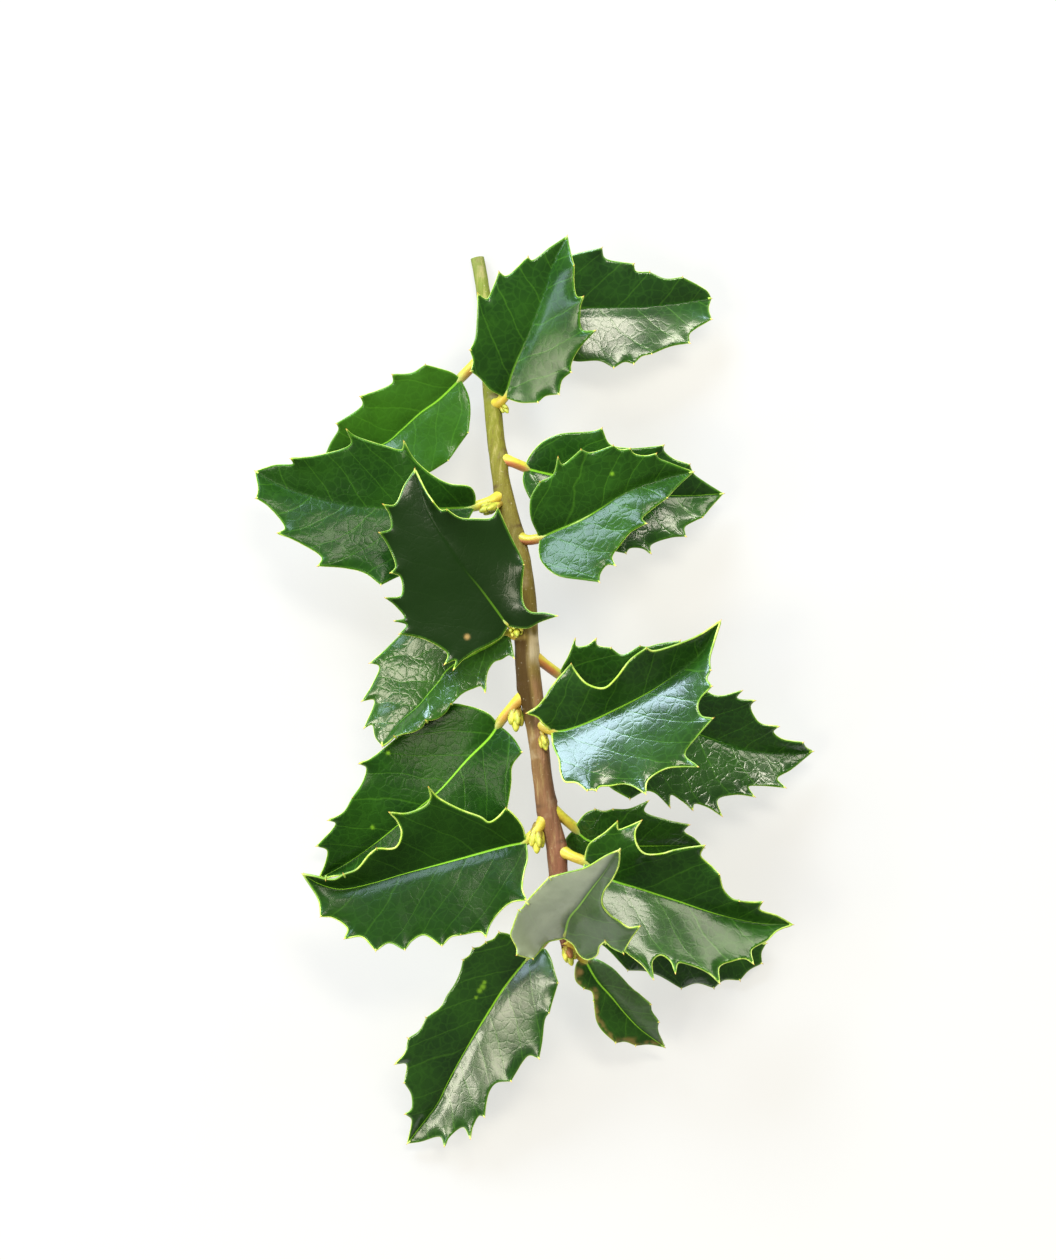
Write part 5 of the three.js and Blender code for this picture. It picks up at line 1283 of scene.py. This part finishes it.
def rim_material():
    tree = Tree("holly_leaf_margin")
    place = solid_place(tree)
    sharp = tree.value("sharp")
    colour = tree.mix(tree.mottle(place, "rim"), RIM_COLOUR, RIM_LIGHT)
    colour = tree.mix(tree.mottle(place, "rim_green"), colour, LEAF_LIGHT)
    colour = tree.mix(tree.ramp(sharp, *SPINE_SHARP), colour, SPINE_COLOUR)
    colour = tree.mix(tree.ramp(sharp, *SPINE_TIP_SHARP), colour, SPINE_TIP_COLOUR)
    tree.shade(Base_Color=colour, Roughness=0.38)
    return tree.material


def stalk_material():
    tree = Tree("holly_stalk")
    place = solid_place(tree)
    normal = tree.node("ShaderNodeNewGeometry", output="Normal")
    facing = tree.node("ShaderNodeSeparateXYZ", {0: normal}, output="Y")
    red = tree.share(tree.ramp(facing, *STALK_SHADE_SIDE), tree.ramp(tree.value("tint"), *STALK_TINT))
    outer = tree.mix(red, STALK_YELLOW, STALK_RED)
    outer = tree.mix(tree.mottle(place, "stalk"), outer, STALK_BROWN)
    colour = tree.mix(tree.ramp(tree.value("along"), *STALK_BARE), UNDER_VEIN, outer)
    tree.shade(Base_Color=colour, Roughness=0.42, Normal=tree.grain(place, STALK_GRAIN))
    return tree.material


def bark_material():
    tree = Tree("holly_bark")
    place = solid_place(tree)
    y = tree.node("ShaderNodeSeparateXYZ", {0: place}, output="Y")
    share = tree.ramp(y, TWIG_TIP_Y, TWIG_CUT_Y)
    share.node.interpolation_type = "LINEAR"
    ramp = tree.tree.nodes.new("ShaderNodeValToRGB")
    tree.put(ramp.inputs[0], share)
    stops = ramp.color_ramp.elements
    while len(stops) < len(BARK_COLOURS):
        stops.new(0.5)
    for stop, (where, colour) in zip(stops, BARK_COLOURS):
        stop.position = where
        stop.color = (*colour, 1)
    streaks = tree.node("ShaderNodeMapping", {"Vector": place, "Scale": (1.0, 0.12, 1.0)})
    streak = tree.noise(streaks, *BARK_STREAKS)
    colour = tree.mix(tree.ramp(streak, *STREAK_DARK), ramp.outputs[0], BARK_DARK)
    colour = tree.mix(tree.ramp(streak, *STREAK_LIGHT), colour, BARK_LIGHT)
    colour = tree.mix(tree.mottle(place, "bark_grey"), colour, BARK_GREY)
    # painted light on the twig's right side and painted shade on its left
    for patch, (strength, tint) in BARK_PAINTED_LIGHT_AND_SHADE.items():
        colour = tree.mix(tree.share(tree.value(patch), strength), colour, tint)
    colour = tree.mix(tree.mottle(place, "bark_specks"), colour, BARK_SPECK_AND_PAINTED_LIGHT)
    colour = tree.mix(tree.value("scar"), colour, BARK_SCAR)
    colour = tree.mix(tree.value("wood"), colour, WOOD_COLOUR)
    normal = tree.grain(place, BARK_GRAIN, tree.bump(streak, STREAK_DEPTH))
    tree.shade(Base_Color=colour, Roughness=0.62, Specular_IOR_Level=0.12, Normal=normal)
    return tree.material


def bud_material():
    tree = Tree("holly_buds")
    place = solid_place(tree)
    colour = tree.mix(tree.mottle(place, "bud"), BUD_GREEN, BUD_YELLOW)
    colour = tree.mix(tree.value("scale"), colour, BUD_BROWN)
    colour = tree.mix(tree.value("ripe"), colour, BUD_RED)
    tree.shade(Base_Color=colour, Roughness=0.45, Normal=tree.grain(place, BUD_GRAIN))
    return tree.material


# ---------------------------------------------------------------- twig and buds

def build_twig(materials):
    rows = np.array(TWIG, float)
    line = smooth_curve(rows, TWIG_STEP)
    points, radii = line[:, :3], line[:, 3]
    along = lengths_along(points)
    angles = np.arange(TWIG_SIDES) * 2 * math.pi / TWIG_SIDES
    relief = np.zeros((len(points), TWIG_SIDES))
    scar = np.zeros_like(relief)
    sides, ups = cross_frames(points)
    for leaf in LEAVES.values():
        root, outer = np.array(leaf["stalk"], float)
        number = np.linalg.norm(points - root, axis=1).argmin()
        out = outer - root
        angle = math.atan2(out @ ups[number], out @ sides[number])
        turn = np.abs((angles - angle + math.pi) % (2 * math.pi) - math.pi)[None]
        off = (along - along[number])[:, None]
        relief += NODE_SWELLING * np.exp(-(off / NODE_LENGTH) ** 2 - (turn / NODE_TURN) ** 2)
        reach = np.exp(-np.maximum(-off, 0) / RIDGE_LENGTH) * (off < 0)
        relief += RIDGE * np.exp(-(turn / RIDGE_TURN) ** 2) * reach
        scar += SCAR_SHADE * np.exp(-((off + SCAR_DROP) / SCAR_LENGTH) ** 2 - (turn / SCAR_TURN) ** 2)
    east = sides[:, :1] * np.cos(angles) + ups[:, :1] * np.sin(angles)
    y = points[:, 1:2]
    ragged = y + PATCH_WAVE * noise(east * 3, y / 4, 6)
    # pale: a painted patch of light on the twig's right side
    pale = fade(east, 0.05, 0.35) * fade(ragged, PAINTED_LIGHT_STRETCH[0], 4) * fade(ragged, PAINTED_LIGHT_STRETCH[1], -3)
    # brown: painted shade on the twig's left side
    brown = fade(east, 0.15, -0.3) * fade(ragged, PAINTED_SHADE_STRETCH[0], 6) * fade(y, PAINTED_SHADE_STRETCH[1], -1)
    # rose: a rosier painted light on the twig's right side, below the pale patch
    rose = fade(east + 0.3 * noise(y / 6, 0 * y, 5), -0.05, 0.15) * fade(y, PAINTED_LIGHT_STRETCH[0], -4)
    angles, along = angles[None], along[:, None]
    relief += GRAIN * (0.5 * noise(angles * 3, along / 8, 3) + noise(angles * 7, along / 5, 4))
    relief += KNOBBLE * noise(along / 2.5, angles * 1.5, 8)
    body, faces = tube(points, radii[:, None] + relief, TWIG_SIDES)
    shape = Shape(("scar", "wood", "pale", "brown", "rose"))
    wood = np.zeros(len(body))
    wood[-2] = 1.0           # the middle of the cut end
    values = {"scar": np.clip(scar, 0, 1), "pale": pale, "brown": brown, "rose": rose}
    values = {key: np.concatenate([value.ravel(), [0, 0]]) for key, value in values.items()}
    shape.add(body, faces, 0, wood=wood, **values)
    made = shape.build("holly_twig", materials)
    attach(made, "root")
    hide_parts("stem")


def turned(way):
    """The turn that brings +Z to the given way, as three columns."""
    way = unit(np.array(way, float))
    side = unit(np.cross(way, [0.3, 0.9, 0.2]))
    return np.column_stack([side, np.cross(way, side), way])


def bud_ball(shape, middle, way, radius, ripe, seed):
    """One bud: an egg with its petals folded over the top, and short brown scales round its foot."""
    turn = turned(way)
    rings, count = BUD_RINGS, BUD_SIDES
    shares = np.linspace(0, math.pi, rings + 2)[1:-1, None]
    angles = (np.arange(count) * 2 * math.pi / count)[None]
    petals = np.abs(np.cos(2 * angles + seed))
    size = radius * (BUD_WAIST + PETAL_FOLD * petals ** 0.5 * np.sin(shares))
    out = np.stack([size * np.sin(shares) * np.cos(angles), size * np.sin(shares) * np.sin(angles),
                    -radius * BUD_LENGTH * np.cos(shares) * np.ones_like(angles)], axis=-1)
    ends = [[0, 0, -radius * BUD_LENGTH], [0, 0, radius * BUD_LENGTH]]
    body = middle + np.vstack([out.reshape(-1, 3), ends]) @ turn.T
    low, high = rings * count, rings * count + 1
    faces = []
    for j in range(count):
        after = (j + 1) % count
        faces.append((low, after, j))
        faces.append((high, low - count + j, low - count + after))
        for i in range(rings - 1):
            faces.append((i * count + j, i * count + after, (i + 1) * count + after, (i + 1) * count + j))
    crease = CREASE_SHADE * (petals < 0.25) * np.clip(-np.cos(shares) - 0.1, 0, 1)
    foot = np.clip(np.cos(shares) - 0.45, 0, 1) * BUD_FOOT_SHADE / 0.55
    shade = np.clip(crease + foot, 0, 1).ravel()
    shape.add(body, faces, 0, scale=np.concatenate([shade, [BUD_FOOT_SHADE, 0]]), ripe=ripe)
    for k in range(SCALES):
        scale_flap(shape, middle, turn, radius, k * 2 * math.pi / SCALES + seed)


def scale_flap(shape, middle, turn, radius, angle):
    """A small pointed scale that hugs the lower half of a bud."""
    rows, columns = SCALE_ROWS, SCALE_COLUMNS
    up = np.linspace(*SCALE_HEIGHTS, rows)[:, None]
    width = SCALE_WIDTH * np.sqrt(np.linspace(1, 0.02, rows))[:, None]
    spread = angle + np.linspace(-1, 1, columns)[None] * width
    reach = radius * SCALE_REACH * np.sqrt(1 - up ** 2)
    points = np.stack([reach * np.cos(spread), reach * np.sin(spread),
                       radius * BUD_LENGTH * up * np.ones_like(spread)], axis=-1)
    outer = middle + points.reshape(-1, 3) @ turn.T
    inner = middle + (points * (1 - SCALE_THICKNESS)).reshape(-1, 3) @ turn.T
    size = rows * columns
    grid = [(i * columns + j, i * columns + j + 1, (i + 1) * columns + j + 1, (i + 1) * columns + j)
            for i in range(rows - 1) for j in range(columns - 1)]
    faces = grid + [tuple(number + size for number in face[::-1]) for face in grid]
    border = [*range(columns), *range(2 * columns - 1, size, columns)]
    border += [*range(size - 2, size - columns - 1, -1), *range(size - 2 * columns, 0, -columns)]
    faces += [(b, a, a + size, b + size) for a, b in zip(border, border[1:] + border[:1])]
    shade = np.repeat(np.linspace(*SCALE_SHADES, rows), columns)
    shape.add(np.vstack([outer, inner]), faces, 0, scale=np.tile(shade, 2))


def build_buds(name, cluster, materials):
    """A tight bundle of buds: one in the middle and the others round it, in brown scales."""
    middle = np.array(cluster["middle"], float)
    turn = turned(cluster["points"])
    core, bud, around = cluster["core"], cluster["bud"], cluster["count"] - 1
    way = turn[:, 2]
    ripe = cluster.get("ripe", {})
    shape = Shape(("scale", "ripe"))
    bud_ball(shape, middle + way * core * 0.7, way, bud, 0.0, 0.4)
    for i in range(around):
        angle = i * 2 * math.pi / around + core
        out = turn @ [math.cos(angle), math.sin(angle), 0]
        odd = i % 2          # every other bud is larger and sits lower
        place = middle + out * core * 0.55 - way * core * (0.35 * odd - 0.1)
        bud_ball(shape, place, way + BUD_SPLAY * out, bud * (0.86 + 0.14 * odd), ripe.get(i, 0.0), i * 1.3)
    for i in range(SCALES):
        scale_flap(shape, middle - way * core * 0.5, turn, core * 0.85, i * 2 * math.pi / SCALES + core)
    made = shape.build(name + "_fine", materials)
    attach(made, "root")
    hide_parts(name)


# ---------------------------------------------------------------- the stage

def build_floor():
    mesh = bpy.data.meshes.new("floor")
    half = FLOOR_SIZE / 2 * MM
    corners = [(-half, -half, 0), (half, -half, 0), (half, half, 0), (-half, half, 0)]
    mesh.from_pydata(corners, [], [(0, 1, 2, 3)])
    floor = bpy.data.objects.new("floor", mesh)
    bpy.context.scene.collection.objects.link(floor)
    tree = Tree("pale_floor")
    tree.shade(Base_Color=FLOOR_COLOUR, Roughness=0.9, Specular_IOR_Level=0.1)
    tree.shade(Emission_Color=FLOOR_GLOW_COLOUR, Emission_Strength=FLOOR_GLOW)
    mesh.materials.append(tree.material)


def area_light(name, place, size, power, colour):
    light = bpy.data.lights.new(name, "AREA")
    light.shape = "RECTANGLE"
    light.size, light.size_y = size[0] * MM, size[1] * MM
    light.energy = power
    light.color = colour
    lamp = bpy.data.objects.new(name, light)
    lamp.location = Vector(place) * MM
    lamp.rotation_euler = (-Vector(place)).to_track_quat("-Z", "Y").to_euler()
    bpy.context.scene.collection.objects.link(lamp)


def build_world():
    world = bpy.data.worlds.new("soft_room")
    bpy.context.scene.world = world
    world.use_nodes = True
    background = world.node_tree.nodes["Background"]
    background.inputs["Color"].default_value = (*WORLD_COLOUR, 1)
    background.inputs["Strength"].default_value = WORLD_STRENGTH


def build_camera():
    camera = bpy.data.cameras.new("camera")
    camera.sensor_fit = "VERTICAL"
    camera.sensor_height = SENSOR_HEIGHT
    camera.lens = SENSOR_HEIGHT * (CAMERA_HEIGHT - FRAME_LEVEL) / FRAME_HEIGHT
    camera.clip_end = 100.0
    camera.clip_start = 0.01
    holder = bpy.data.objects.new("camera", camera)
    holder.location = Vector((-TABLE_ORIGIN[0], -TABLE_ORIGIN[1], CAMERA_HEIGHT)) * MM
    bpy.context.scene.collection.objects.link(holder)
    bpy.context.scene.camera = holder


def build_scene():
    build_camera()
    leaf_materials = [upper_material(), under_material(), rim_material(), stalk_material()]
    for name, leaf in LEAVES.items():
        build_leaf(name, leaf, leaf_materials)
    build_twig([bark_material()])
    bud = bud_material()
    for name, cluster in BUD_CLUSTERS.items():
        build_buds(name, cluster, [bud])
    build_floor()
    build_world()
    for light in LIGHTS:
        area_light(*light)
    bpy.context.scene.view_settings.view_transform = "Standard"


build_scene()
